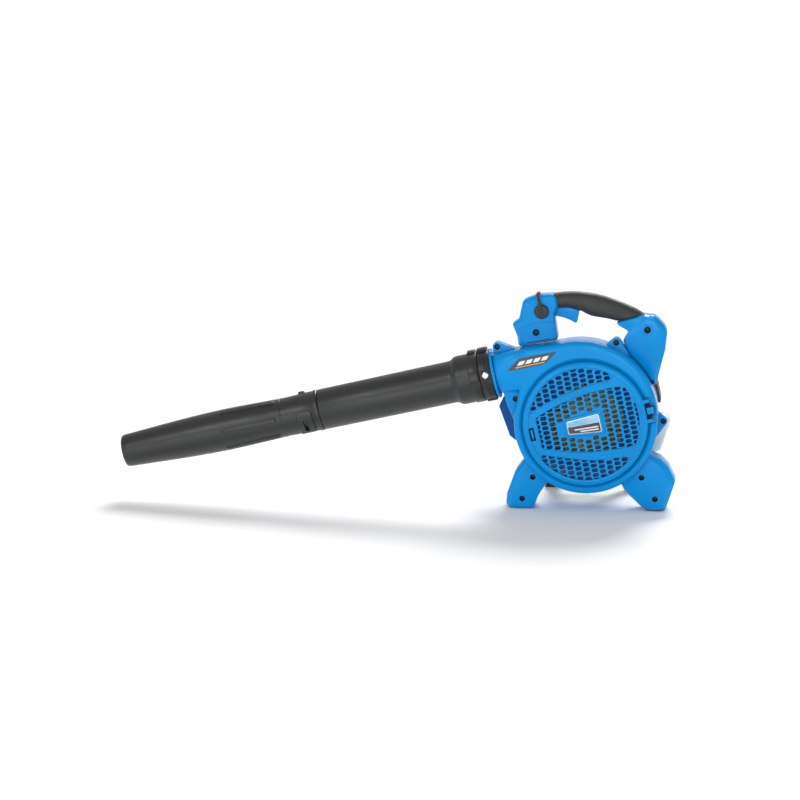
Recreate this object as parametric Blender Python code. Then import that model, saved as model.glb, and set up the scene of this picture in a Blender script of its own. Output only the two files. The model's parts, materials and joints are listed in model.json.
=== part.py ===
"""Hand-held petrol leaf blower: volute fan case, blow pipe, handle and two-stroke engine.

Lengths in the code are millimetres and angles are degrees. Meshes are scaled to metres when they
become objects. Two frames are used. The level frame is parallel to the world, with its origin on
the fan axis at the split plane. The fan frame shares that origin and is tilted about Y, because
the blow pipe, grille and engine are square to each other but nose down when the feet are level.
Y runs from the grille (negative) to the starter (positive).
"""
import math

import bmesh
import bpy
from mathutils import Matrix, Vector

# ---------------------------------------------------------------- driving dimensions
MM = 0.001
GAP = 0.3                 # clearance between touching pieces
TILT = 13.0               # nose-down angle of the fan frame
AXIS_HEIGHT = 149.0       # fan axis above the ground
ORIGIN_X = 323.45         # fan axis from the middle of the bounding box
ORIGIN_Y = -68.45

WALL = 3.0
CASE_FRONT = -42.0        # front and rear faces of the fan case
CASE_REAR = 38.0
BASE_RADIUS = 119.5       # volute: base circle, growth and its angles
VOLUTE_GROWTH = 0.18
VOLUTE_START = -14.0
VOLUTE_END = 95.0
INLET_RADIUS = 65.0
DISH_RADIUS = 97.0        # recess in the front wall behind the inlet door
DISH_FLOOR = -34.0

DUCT_Y = -2.0             # centre line of duct and pipe
DUCT_Z = 109.5
OUTLET_X = -135.0         # face of the outlet flange
SPIGOT_RADIUS = 34.0

DOOR_RADIUS = 103.8
DOOR_FRONT = -50.0
DOOR_BACK = -42.4
DOOR_RING = 9.5
GRILLE_FRONT = -47.0
GRILLE_BACK = -44.2
HINGE_X = 108.5
HINGE_Y = -46.0
CELL_PITCH_X = 13.1       # honeycomb, with its cells as plain rectangles
CELL_PITCH_Z = 8.2
CELL_HALF_LENGTH = 4.7
CELL_HALF_HEIGHT = 3.0

FOOT_FRONT = -30.0
FOOT_REAR = 26.0

HANDLE_WIDTH = 44.0
HANDLE_SPLIT = 22.0
GRIP_HALF_WIDTH = 16.0

CRANK_RADIUS = 5.0
ENGINE_REAR = 100.0
CYLINDER_BORE = 17.0

ROUND = 20                # segments round large and small turned pieces
SMALL_ROUND = 10
SMOOTH_ANGLE = 32.0


# ---------------------------------------------------------------- frames and plain geometry
def to_fan(x, z):
    """Level frame to fan frame, in the XZ plane."""
    c = math.cos(math.radians(TILT))
    s = math.sin(math.radians(TILT))
    return (x * c + z * s, -x * s + z * c)


def polar(radius, angle):
    return (radius * math.cos(math.radians(angle)), radius * math.sin(math.radians(angle)))


def arc(centre, radius, start, end, steps):
    """Points on an arc, both ends included."""
    points = []
    for i in range(steps + 1):
        x, z = polar(radius, start + (end - start) * i / steps)
        points.append((centre[0] + x, centre[1] + z))
    return points


def rounded(corners, radius, steps=3):
    """Replace each corner of a closed outline by an arc of the radius, or less on short edges."""
    result = []
    count = len(corners)
    for i in range(count):
        corner = Vector(corners[i])
        back = Vector(corners[i - 1]) - corner
        ahead = Vector(corners[(i + 1) % count]) - corner
        half = back.angle(ahead) / 2
        sweep = math.pi - 2 * half
        if sweep < 0.12:
            result.append((corner.x, corner.y))
            continue
        reach = min(radius / math.tan(half), back.length * 0.45, ahead.length * 0.45)
        back.normalize()
        ahead.normalize()
        centre = corner + (back + ahead).normalized() * (reach / math.cos(half))
        start = corner + back * reach - centre
        end = corner + ahead * reach - centre
        for k in range(steps + 1):
            t = k / steps
            point = (centre + start * (math.sin((1 - t) * sweep) / math.sin(sweep))
                     + end * (math.sin(t * sweep) / math.sin(sweep)))
            result.append((point.x, point.y))
    return result


def signed_area(outline):
    total = 0.0
    for i, (x, z) in enumerate(outline):
        nx, nz = outline[(i + 1) % len(outline)]
        total += x * nz - nx * z
    return total / 2


def inset(outline, distance):
    """Move each edge of a closed outline inwards by the distance."""
    side = 1.0 if signed_area(outline) > 0 else -1.0
    result = []
    count = len(outline)
    for i in range(count):
        here = Vector(outline[i])
        back = (here - Vector(outline[i - 1])).normalized()
        ahead = (Vector(outline[(i + 1) % count]) - here).normalized()
        normal = Vector((-back.y - ahead.y, back.x + ahead.x)) * side
        if normal.length < 1e-6:
            normal = Vector((-back.y, back.x)) * side
        normal.normalize()
        cosine = max(0.35, normal.dot(Vector((-back.y, back.x)) * side))
        point = here + normal * (distance / cosine)
        result.append((point.x, point.y))
    return result


def convex_hull(points):
    points = sorted(set((round(x, 4), round(z, 4)) for x, z in points))

    def half(sequence):
        chain = []
        for p in sequence:
            while len(chain) > 1 and cross(chain[-2], chain[-1], p) <= 0:
                chain.pop()
            chain.append(p)
        return chain[:-1]

    def cross(a, b, c):
        return (b[0] - a[0]) * (c[1] - a[1]) - (b[1] - a[1]) * (c[0] - a[0])

    return half(points) + half(points[::-1])


def inside(point, outline):
    """True where the point lies in the closed outline."""
    x, z = point
    found = False
    for i, (x1, z1) in enumerate(outline):
        x0, z0 = outline[i - 1]
        if (z0 > z) != (z1 > z) and x < (x1 - x0) * (z - z0) / (z1 - z0) + x0:
            found = not found
    return found


# ---------------------------------------------------------------- mesh builders (millimetres)
def loft(rings, closed=False):
    """Skin rings of equally many points. A ring of one point closes the skin to a tip."""
    bm = bmesh.new()
    loops = [[bm.verts.new(p) for p in ring] for ring in rings]
    pairs = list(zip(loops, loops[1:]))
    if closed:
        pairs.append((loops[-1], loops[0]))
    for a, b in pairs:
        count = max(len(a), len(b))
        for i in range(count):
            j = (i + 1) % count
            if len(a) == 1:
                bm.faces.new((a[0], b[j], b[i]))
            elif len(b) == 1:
                bm.faces.new((a[i], a[j], b[0]))
            else:
                bm.faces.new((a[i], a[j], b[j], b[i]))
    if not closed:
        for ring in (loops[0], loops[-1]):
            if len(ring) > 1:
                bm.faces.new(ring)
    bmesh.ops.recalc_face_normals(bm, faces=bm.faces)
    return bm


def prism(outline, y0, y1, bevel_front=0.0, bevel_rear=0.0):
    """Extrude an XZ outline along Y, with optional sloped edges at either end."""
    def ring(points, y):
        return [(x, y, z) for x, z in points]

    rings = []
    if bevel_front:
        rings.append(ring(inset(outline, bevel_front), y0))
        rings.append(ring(outline, y0 + bevel_front))
    else:
        rings.append(ring(outline, y0))
    if bevel_rear:
        rings.append(ring(outline, y1 - bevel_rear))
        rings.append(ring(inset(outline, bevel_rear), y1))
    else:
        rings.append(ring(outline, y1))
    return loft(rings)


def turned(profile, axis="Y", centre=(0, 0, 0), segments=ROUND, closed=False):
    """Turn a profile of (position along the axis, radius) about an axis through the centre."""
    rings = []
    for along, radius in profile:
        steps = 1 if radius < 1e-6 else segments
        ring = []
        for i in range(steps):
            a, b = polar(radius, 360.0 * (i + 0.5) / segments)
            offset = {"X": (along, a, b), "Y": (a, along, b), "Z": (a, b, along)}[axis]
            ring.append(Vector(centre) + Vector(offset))
        rings.append(ring)
    return loft(rings, closed)


def cylinder(axis, centre, radius, start, end, segments=SMALL_ROUND):
    return turned([(start, radius), (end, radius)], axis, centre, segments)


def box(low, high):
    bm = bmesh.new()
    bmesh.ops.create_cube(bm, size=1.0)
    low = Vector(low)
    high = Vector(high)
    size = high - low
    for vert in bm.verts:
        vert.co = low + Vector(((vert.co.x + 0.5) * size.x, (vert.co.y + 0.5) * size.y,
                                (vert.co.z + 0.5) * size.z))
    return bm


def rounded_box(low, high, bevel):
    bm = box(low, high)
    bmesh.ops.bevel(bm, geom=list(bm.edges), offset=bevel, segments=1, affect="EDGES")
    return bm


def tube(points, radius, sides=8):
    """Sweep a round section along a list of points."""
    points = [Vector(p) for p in points]
    rings = []
    reference = Vector((0.0, 1.0, 0.0))
    for i, point in enumerate(points):
        ahead = points[min(i + 1, len(points) - 1)] - points[max(i - 1, 0)]
        ahead.normalize()
        side = reference - ahead * reference.dot(ahead)
        if side.length < 0.2:
            side = Vector((1.0, 0.0, 0.0)) - ahead * ahead.x
        side.normalize()
        reference = side
        up = ahead.cross(side)
        ring = []
        for k in range(sides):
            a, b = polar(radius, 360.0 * k / sides)
            ring.append(point + side * a + up * b)
        rings.append(ring)
    return loft(rings)


def smooth_path(points, per_span=4):
    """Points on a smooth curve through the route's own points."""
    pts = [Vector(p) for p in points]
    pts = [pts[0] * 2 - pts[1]] + pts + [pts[-1] * 2 - pts[-2]]
    result = []
    for i in range(1, len(pts) - 2):
        p0, p1, p2, p3 = pts[i - 1:i + 3]
        for k in range(per_span):
            t = k / per_span
            result.append(0.5 * (2 * p1 + (p2 - p0) * t + (2 * p0 - 5 * p1 + 4 * p2 - p3) * t ** 2
                                 + (3 * p1 - p0 - 3 * p2 + p3) * t ** 3))
    result.append(pts[-2])
    return result


def merged(parts):
    """Put several separate meshes into one."""
    bm = bmesh.new()
    for part in parts:
        mesh = bpy.data.meshes.new("part")
        part.to_mesh(mesh)
        part.free()
        bm.from_mesh(mesh)
        bpy.data.meshes.remove(mesh)
    return bm


def boolean(base, tool, operation):
    """Combine two meshes with the exact Boolean modifier. Both inputs are used up."""
    objects = []
    for bm in (base, tool):
        mesh = bpy.data.meshes.new("work")
        bm.to_mesh(mesh)
        bm.free()
        obj = bpy.data.objects.new("work", mesh)
        bpy.context.scene.collection.objects.link(obj)
        objects.append(obj)
    modifier = objects[0].modifiers.new("Boolean", "BOOLEAN")
    modifier.operation = operation
    modifier.solver = "EXACT"
    modifier.object = objects[1]
    result = bmesh.new()
    result.from_object(objects[0], bpy.context.evaluated_depsgraph_get())
    for obj in objects:
        mesh = obj.data
        bpy.data.objects.remove(obj)
        bpy.data.meshes.remove(mesh)
    bmesh.ops.remove_doubles(result, verts=result.verts, dist=0.002)
    bmesh.ops.dissolve_degenerate(result, edges=result.edges, dist=0.002)
    loose = [edge for edge in result.edges if not edge.link_faces]
    bmesh.ops.delete(result, geom=loose, context="EDGES")
    return result


def join(base, *tools):
    for tool in tools:
        base = boolean(base, tool, "UNION")
    return base


def cut(base, *tools):
    for tool in tools:
        base = boolean(base, tool, "DIFFERENCE")
    return base


def turn_to_fan(bm):
    """Re-express a mesh of the level frame in the fan frame."""
    bm.transform(Matrix.Rotation(math.radians(TILT), 4, "Y"))
    return bm


# ---------------------------------------------------------------- scene, frames and materials
MATERIALS = {
    # name: (linear colour, roughness, metallic)
    "blue_plastic": ((0.0, 0.27, 0.73), 0.28, 0.0),
    "black_plastic": ((0.012, 0.013, 0.012), 0.42, 0.0),
    "pipe_plastic": ((0.03, 0.033, 0.031), 0.36, 0.0),
    "grip_rubber": ((0.04, 0.043, 0.041), 0.7, 0.0),
    "fan_plastic": ((0.13, 0.125, 0.04), 0.55, 0.0),
    "tank_plastic": ((0.76, 0.83, 0.8), 0.35, 0.0),
    "red_plastic": ((0.65, 0.03, 0.02), 0.35, 0.0),
    "case_grey": ((0.33, 0.31, 0.26), 0.5, 0.0),
    "filter_foam": ((0.05, 0.05, 0.05), 0.95, 0.0),
    "soft_rubber": ((0.02, 0.02, 0.02), 0.75, 0.0),
    "cast_aluminium": ((0.55, 0.56, 0.57), 0.45, 1.0),
    "bright_steel": ((0.62, 0.62, 0.6), 0.25, 1.0),
    "dark_steel": ((0.06, 0.06, 0.06), 0.4, 1.0),
    "badge_print": ((0.2, 0.5, 0.72), 0.3, 0.0),
    "label_print": ((0.045, 0.042, 0.042), 0.4, 0.0),
}


def clear_scene():
    for obj in list(bpy.data.objects):
        bpy.data.objects.remove(obj)


def material(name):
    found = bpy.data.materials.get(name)
    if found:
        return found
    colour, roughness, metallic = MATERIALS[name]
    made = bpy.data.materials.new(name)
    made.use_nodes = True
    shader = made.node_tree.nodes["Principled BSDF"]
    shader.inputs["Base Color"].default_value = (*colour, 1.0)
    shader.inputs["Roughness"].default_value = roughness
    shader.inputs["Metallic"].default_value = metallic
    made.diffuse_color = (*colour, 1.0)
    return made


def frame(name, parent=None, location=(0, 0, 0), tilt=0.0):
    empty = bpy.data.objects.new(name, None)
    bpy.context.scene.collection.objects.link(empty)
    empty.parent = parent
    empty.location = Vector(location) * MM
    empty.rotation_euler = (0.0, math.radians(tilt), 0.0)
    return empty


def make(name, bm, finish, parent, origin=(0, 0, 0)):
    """Turn a mesh in millimetres into a named object with its origin at the given point."""
    bmesh.ops.recalc_face_normals(bm, faces=bm.faces)
    bm.transform(Matrix.Scale(MM, 4) @ Matrix.Translation(-Vector(origin)))
    mesh = bpy.data.meshes.new(name)
    bm.to_mesh(mesh)
    bm.free()
    mesh.shade_smooth()
    mesh.set_sharp_from_angle(angle=math.radians(SMOOTH_ANGLE))
    mesh.materials.append(material(finish))
    obj = bpy.data.objects.new(name, mesh)
    bpy.context.scene.collection.objects.link(obj)
    obj.parent = parent
    obj.location = Vector(origin) * MM
    return obj


# ---------------------------------------------------------------- fan case
SCREW_HEAD = 4.4
SCREW_SHANK = 2.0
LUG_RADIUS = 8.0
CASE_SCREWS = {
    # name: ((x, z) in the fan frame, front face of its boss)
    "case_screw_top_left": ((-118.8, 152.8), -13.0),
    "case_screw_top_right": ((77.2, 118.2), -13.0),
    "case_screw_web": ((-106.0, 62.5), -28.0),
    "foot_screw_1": (to_fan(-87.5, -95.0), FOOT_FRONT),
    "foot_screw_2": (to_fan(-105.0, -132.0), FOOT_FRONT),
    "foot_screw_3": (to_fan(94.0, -92.0), FOOT_FRONT),
    "foot_screw_4": (to_fan(117.0, -128.0), FOOT_FRONT),
}
SIDE_SCREW = to_fan(128.0, -0.5)
SCREW_SINK = 7.0          # head below the face of a foot
LUG_SINK = 3.4


def volute_outline(offset):
    """Outline of the scroll in the fan frame, moved inwards by the offset."""
    points = []
    for i in range(13):
        angle = VOLUTE_START + (VOLUTE_END - VOLUTE_START) * i / 12
        radius = BASE_RADIUS + VOLUTE_GROWTH * (angle - VOLUTE_START) - offset
        points.append(polar(radius, angle))
    points += [(-45.0, 140.3 - offset), (-72.0 + offset, 141.2 - offset)]
    points += arc((0, 0), BASE_RADIUS - offset, 150.0, 346.0, 22)[:-1]
    return points


def scroll_body():
    rings = []
    for y, offset in ((CASE_FRONT, 7.0), (CASE_FRONT + 1.8, 2.6), (CASE_FRONT + 6.0, 0.0),
                      (CASE_REAR - 4.0, 0.0), (CASE_REAR, 4.0)):
        rings.append([(x, y, z) for x, z in volute_outline(offset)])
    return loft(rings)


def scroll_space():
    rings = []
    for y, offset in ((CASE_FRONT + WALL, 8.0), (CASE_FRONT + 8.0, WALL),
                      (CASE_REAR - 7.0, WALL), (CASE_REAR - WALL, 7.0)):
        rings.append([(x, y, z) for x, z in volute_outline(offset)])
    return loft(rings)


def duct(sections, segments):
    """Loft of rounded sections: (x, centre y, centre z, half depth, half height, squareness)."""
    rings = []
    for x, cy, cz, half_y, half_z, power in sections:
        ring = []
        for i in range(segments):
            c, s = polar(1.0, 360.0 * (i + 0.5) / segments)
            y = math.copysign(abs(c) ** (2 / power), c) * half_y
            z = math.copysign(abs(s) ** (2 / power), s) * half_z
            ring.append((x, cy + y, cz + z))
        rings.append(ring)
    return loft(rings)


def duct_body():
    return duct([(OUTLET_X + 2, DUCT_Y, DUCT_Z, 35.5, 35.0, 2.0),
                 (-122.0, DUCT_Y, 109.2, 37.6, 34.9, 2.8),
                 (-108.0, DUCT_Y - 0.1, 108.9, 39.6, 34.8, 4.2),
                 (-92.0, DUCT_Y - 0.2, 108.4, 40.2, 34.6, 6.0),
                 (-62.0, DUCT_Y - 0.3, 107.6, 40.2, 34.3, 6.0),
                 (-25.0, DUCT_Y - 0.3, 105.6, 39.6, 33.8, 6.0),
                 (0.0, DUCT_Y - 0.3, 104.0, 37.5, 33.0, 6.0)], 24)


def duct_space():
    return duct([(OUTLET_X - 60, DUCT_Y, DUCT_Z, 31.0, 31.0, 2.0),
                 (OUTLET_X + 6, DUCT_Y, DUCT_Z, 31.0, 31.0, 2.0),
                 (-96.0, DUCT_Y - 0.2, 108.5, 35.2, 31.2, 3.0),
                 (-62.0, DUCT_Y - 0.3, 107.6, 36.6, 31.0, 4.0),
                 (0.0, DUCT_Y - 0.3, 102.0, 36.6, 28.0, 4.0)], 20)


def foot_outlines():
    left = [(-86, -42), (-100, -61), (-118, -87), (-131, -124), (-132.5, -141), (-126.5, -149),
            (-86, -149), (-79, -129), (-72, -117), (-61, -101), (-50, -84)]
    right = [(57, -99), (60, -104), (68, -118), (92, -140), (100, -147), (108, -149), (128, -149),
             (135, -145.5), (151, -97), (139, -74.5), (125, -60.5), (111, -55), (103, -48)]
    return left, right


LUG_HALF_WIDTH = 13.0
TOP_LUGS = [
    # centre and the two feet on the case
    ((-118.8, 152.8), (-84, 140), (-127, 138)),
    ((77.2, 118.2), (55, 117), (95, 90)),
]


def lug_outline(centre, radius, base_a, base_b):
    return convex_hull(arc(centre, radius, 0.0, 360.0, 10) + [base_a, base_b])


def lug_room():
    """Cutter that keeps the handle clear of the two top lugs."""
    parts = []
    for lug in TOP_LUGS:
        outline = inset(lug_outline(lug[0], LUG_RADIUS, lug[1], lug[2]), -0.6)
        parts.append(prism(outline, -20, LUG_HALF_WIDTH + 0.6))
    return merged(parts)


def fan_case():
    """Both halves of the case as one solid, before the split."""
    web = rounded([(-124.5, 82), (-122.5, 55), (-116.5, 24), (-98, 14), (-78, 60), (-78, 82)], 4, 1)
    case = join(scroll_body(), duct_body(), prism(web, -28.0, 28.0, 2.5, 2.5))
    for outline in foot_outlines():
        foot = prism(rounded(outline, 5, 1), FOOT_FRONT, FOOT_REAR, 2.5, 2.5)
        case = join(case, turn_to_fan(foot))
    for centre, base_a, base_b in TOP_LUGS:
        outline = lug_outline(centre, LUG_RADIUS, base_a, base_b)
        case = join(case, prism(outline, -LUG_HALF_WIDTH, LUG_HALF_WIDTH, bevel_front=1.2))
    flange = turned([(OUTLET_X, 42.0), (OUTLET_X + 4.5, 42.0)], "X", (0, DUCT_Y, DUCT_Z), 28)
    spigot = cylinder("X", (0, DUCT_Y, DUCT_Z), SPIGOT_RADIUS, OUTLET_X - 30, OUTLET_X + 2, ROUND)
    case = join(case, flange, spigot)
    case = cut(case, join(scroll_space(), duct_space()))
    case = join(case, cylinder("Y", (0, 0, 0), DISH_RADIUS + 2.5, CASE_FRONT + 1, DISH_FLOOR + WALL, 48))
    dish = turned([(CASE_FRONT - 9, 0), (CASE_FRONT - 9, DISH_RADIUS), (CASE_FRONT, DISH_RADIUS),
                   (DISH_FLOOR, DISH_RADIUS - 1.5), (DISH_FLOOR, 0)], segments=48)
    latch_block = box((-99, CASE_FRONT, -14), (-78, DISH_FLOOR + 1, 17))
    case = join(cut(case, dish), latch_block)
    case = cut(case, cylinder("Y", (0, 0, 0), INLET_RADIUS, DISH_FLOOR - 9, DISH_FLOOR + 9, 36))
    return cut(case, cylinder("Y", (0, 0, 0), 10.0, CASE_REAR - 9, CASE_REAR + 9))


def screw_hole(centre, front, sink):
    """Cutter: head recess with the shank hole behind it."""
    head = SCREW_HEAD + GAP
    shank = SCREW_SHANK + GAP
    profile = [(front - 3, 0), (front - 3, head), (front + sink + 3.5, head),
               (front + sink + 3.5, shank), (17.0, shank), (17.0, 0)]
    return turned(profile, "Y", (centre[0], 0, centre[1]), SMALL_ROUND)


def screw(name, centre, front, sink, parent, tip=16.0):
    """Pan head screw with a round socket recess."""
    top = front + sink
    profile = [(top + 2.0, 0), (top + 2.0, 2.0), (top, 2.2), (top, SCREW_HEAD),
               (top + 3.2, SCREW_HEAD), (top + 3.2, SCREW_SHANK), (tip, SCREW_SHANK), (tip, 0)]
    bm = turned(profile, "Y", (centre[0], 0, centre[1]), SMALL_ROUND)
    return make(name, bm, "dark_steel", parent, (centre[0], 0, centre[1]))


def add_fan_case(fan):
    case = fan_case()
    for name, (centre, front) in CASE_SCREWS.items():
        sink = SCREW_SINK if name.startswith("foot") else LUG_SINK
        case = cut(case, screw_hole(centre, front, sink))
        screw(name, centre, front, sink, fan)
    latch_slot = box((-93.5, CASE_FRONT - 2, -9), (-81.5, CASE_FRONT + 9, 12))
    tab = prism(rounded([(104.6, -5.6), (116.6, -5.6), (116.6, 5.6), (104.6, 5.6)], 1.5, 1),
                -48.8, CASE_FRONT + 1)
    case = cut(join(case, tab), latch_slot)
    case = cut(case, cylinder("Z", (HINGE_X, HINGE_Y, 0), 1.4 + GAP, -9, 9))

    rear_rim = BASE_RADIUS - 6
    side_lug = prism(lug_outline(SIDE_SCREW, 7.0, polar(rear_rim, 12 - TILT),
                                 polar(rear_rim, -24 - TILT)), 1.0, 15.0, bevel_front=1.2)
    halves = []
    for y0, y1 in ((-GAP / 2, 99.0), (-99.0, GAP / 2)):
        halves.append(cut(case.copy(), box((-300, y0, -300), (300, y1, 300))))
    case.free()
    front, rear = halves
    rear = join(rear, side_lug)
    rear = cut(rear, screw_hole(SIDE_SCREW, 1.0, LUG_SINK))
    rear = cut(rear, scroll_space())
    screw("case_screw_side", SIDE_SCREW, 1.0, LUG_SINK, fan)
    make("front_shell", front, "blue_plastic", fan)
    make("rear_shell", rear, "blue_plastic", fan)


def add_side_label(fan):
    outline = [(-109, 112.6), (-84, 129.5), (-20, 128.0), (-45, 112.0)]
    label = prism(outline, -43.1, -42.8)
    make("side_label", label, "label_print", fan)


# ---------------------------------------------------------------- inlet door
WINDOW_RADIUS = 94.0


def window_outlines():
    """The three grille windows of the door, in the fan frame."""
    upper = arc((0, 0), WINDOW_RADIUS, 47.0, 156.0, 14)
    upper += [(-86, 35), (-68, 42.5), (-45, 50.5), (-16, 57.5), (9.5, 61), (35, 63.4), (57, 64)]
    middle = [(-79, 24), (-76, 28), (-53, 36), (-26.5, 43), (3, 48.5), (36, 50.8), (62, 51)]
    middle += arc((0, 0), 90.5, 33.0, -34.0, 10)
    middle += [(65, -52.5), (40, -51.6), (5, -48.8), (-20.6, -44.4), (-47.7, -37), (-79, -26)]
    lower = [(-84, -35), (-57, -45), (-23, -56.6), (2, -62.8), (28, -65.5), (51, -66.6), (60, -69)]
    lower += arc((0, 0), WINDOW_RADIUS + 1, 307.0, 210.0, 12)
    return upper, middle, lower


def honeycomb_centres():
    """Centres of the cells: alternate columns are half a pitch apart."""
    centres = []
    for i in range(-8, 9):
        x = -0.7 + i * CELL_PITCH_X
        start = 80.4 + (0 if i % 2 else CELL_PITCH_Z / 2)
        for j in range(-22, 3):
            centres.append((x, start + j * CELL_PITCH_Z))
    return centres


def cell(centre):
    x, z = centre
    return [(x + CELL_HALF_LENGTH, z + CELL_HALF_HEIGHT), (x - CELL_HALF_LENGTH, z + CELL_HALF_HEIGHT),
            (x - CELL_HALF_LENGTH, z - CELL_HALF_HEIGHT), (x + CELL_HALF_LENGTH, z - CELL_HALF_HEIGHT)]


def perforated_plate(outline, holes, y0, y1):
    """Flat plate between two Y planes with open cells."""
    bm = bmesh.new()
    edges = []
    for loop in [outline] + holes:
        verts = [bm.verts.new((x, y0, z)) for x, z in loop]
        for i, vert in enumerate(verts):
            edges.append(bm.edges.new((vert, verts[(i + 1) % len(verts)])))
    bmesh.ops.triangle_fill(bm, use_beauty=True, edges=edges)
    extruded = bmesh.ops.extrude_face_region(bm, geom=list(bm.faces))
    moved = [g for g in extruded["geom"] if isinstance(g, bmesh.types.BMVert)]
    bmesh.ops.translate(bm, verts=moved, vec=(0, y1 - y0, 0))
    bmesh.ops.recalc_face_normals(bm, faces=bm.faces)
    return bm


def badge_outline(offset):
    return inset([(-32, 12), (-33, -14), (27.5, -20.5), (27.5, 15.7)], offset)


def add_inlet_door(fan):
    windows = window_outlines()
    boss = badge_outline(-1.0)
    holes = []
    for centre in honeycomb_centres():
        corners = cell(centre)
        for window in windows:
            if all(inside(c, window) for c in corners) and not any(inside(c, boss) for c in corners):
                holes.append(corners)
    latch_window = [(-94.0, -10.5), (-85.2, -10.5), (-85.2, 12.0), (-94.0, 12.0)]
    holes.append(latch_window)
    plate = perforated_plate(arc((0, 0), DOOR_RADIUS - 4, 0, 354, 59), holes,
                             GRILLE_FRONT, GRILLE_BACK)
    inner = DOOR_RADIUS - DOOR_RING
    ring = turned([(DOOR_FRONT, DOOR_RADIUS - 2.2), (DOOR_FRONT + 2.2, DOOR_RADIUS),
                   (DOOR_BACK, DOOR_RADIUS), (DOOR_BACK, inner + 3),
                   (GRILLE_BACK - 1.0, inner), (DOOR_FRONT + 0.8, inner), (DOOR_FRONT, inner + 1.4)],
                  segments=54, closed=True)
    door = join(ring, plate)
    door = join(door, prism(badge_outline(0), -49.4, GRILLE_BACK - 0.5, 1.0))
    for low, high in ((13.6, 19.6), (-19.6, -13.6)):
        arm = box((98.0, -49.2, low), (HINGE_X, -43.2, high))
        barrel = cylinder("Z", (HINGE_X, HINGE_Y, 0), 3.2, low, high)
        door = join(door, arm, barrel)
        door = cut(door, cylinder("Z", (HINGE_X, HINGE_Y, 0), 1.4 + GAP, low - 1, high + 1))
    spring_clearance = box((102.6, -51, -13.3), (118, -40, 13.3))
    door = cut(door, spring_clearance)
    make("inlet_door", door, "blue_plastic", fan, (HINGE_X, HINGE_Y, 0))

    pin = cylinder("Z", (HINGE_X, HINGE_Y, 0), 1.4, -20.5, 20.5)
    make("hinge_pin", pin, "dark_steel", fan, (HINGE_X, HINGE_Y, 0))
    coils = []
    for low, high in ((6.2, 13.0), (-13.0, -6.2)):
        coils.append(turned([(low, 1.75), (high, 1.75), (high, 3.3), (low, 3.3)], "Z",
                            (HINGE_X, HINGE_Y, 0), 12, closed=True))
    loop = smooth_path([(110.6, -46, 8.2), (116.5, -46, 7.8), (118.4, -46, 5.0), (118.6, -46, 0),
                        (118.4, -46, -5.0), (116.5, -46, -7.8), (110.6, -46, -8.2)], 1)
    spring = join(merged(coils), tube(loop, 0.6, 6))
    make("door_spring", spring, "dark_steel", fan, (HINGE_X, HINGE_Y, 0))

    tongue = join(rounded_box((-91.6, -48.8, -7.5), (-88.2, -38.0, 9.0), 0.4),
                  box((-91.4, -43.8, -7.3), (-86.0, -42.6, 8.8)))
    make("door_latch", tongue, "blue_plastic", fan, (-90.0, -45.0, 0))
    badge = prism(rounded(badge_outline(4.5), 2, 2), -50.1, -49.7)
    make("badge", badge, "badge_print", fan, (HINGE_X, HINGE_Y, 0))


# ---------------------------------------------------------------- blow pipe
def pipe_point(s):
    """Position on the fan frame's X axis, for a distance along the pipe from the flange."""
    return OUTLET_X - s


def pipe_turned(outer, inner, segments=ROUND):
    """Hollow turned piece from (distance, radius) stations of its outside and its bore."""
    profile = [(pipe_point(s), r) for s, r in outer] + [(pipe_point(s), r) for s, r in inner[::-1]]
    return turned(profile, "X", (0, DUCT_Y, DUCT_Z), segments, closed=True)


def pipe_block(s0, s1, half_width, low, high, turn=0.0, bevel=0.6):
    """Block on the pipe's outside, between two radii, turned about the pipe axis."""
    bm = rounded_box((pipe_point(s1), -half_width, low), (pipe_point(s0), half_width, high), bevel)
    bm.transform(Matrix.Translation((0, DUCT_Y, DUCT_Z))
                 @ Matrix.Rotation(math.radians(turn), 4, "X"))
    return bm


PIPE_BORE = SPIGOT_RADIUS + GAP
CLAMP_S = 10.0            # clamp screw, from the flange
CLAMP_TURN = 84.0
STUD_S = 327.0
STUD_TURN = 110.0         # bayonet studs, from the top towards the front
BAYONET_ANGLE = 22.0


def pipe_sector(s0, s1, low, high, start, end):
    """Curved pad round the pipe, between two radii and two angles from the top to the front."""
    rings = []
    for k in range(7):
        angle = math.radians(start + (end - start) * k / 6)
        ring = []
        for s, radius in ((s0, low), (s0, high), (s1, high), (s1, low)):
            ring.append((pipe_point(s), DUCT_Y - radius * math.sin(angle),
                         DUCT_Z + radius * math.cos(angle)))
        rings.append(ring)
    return loft(rings)


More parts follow.
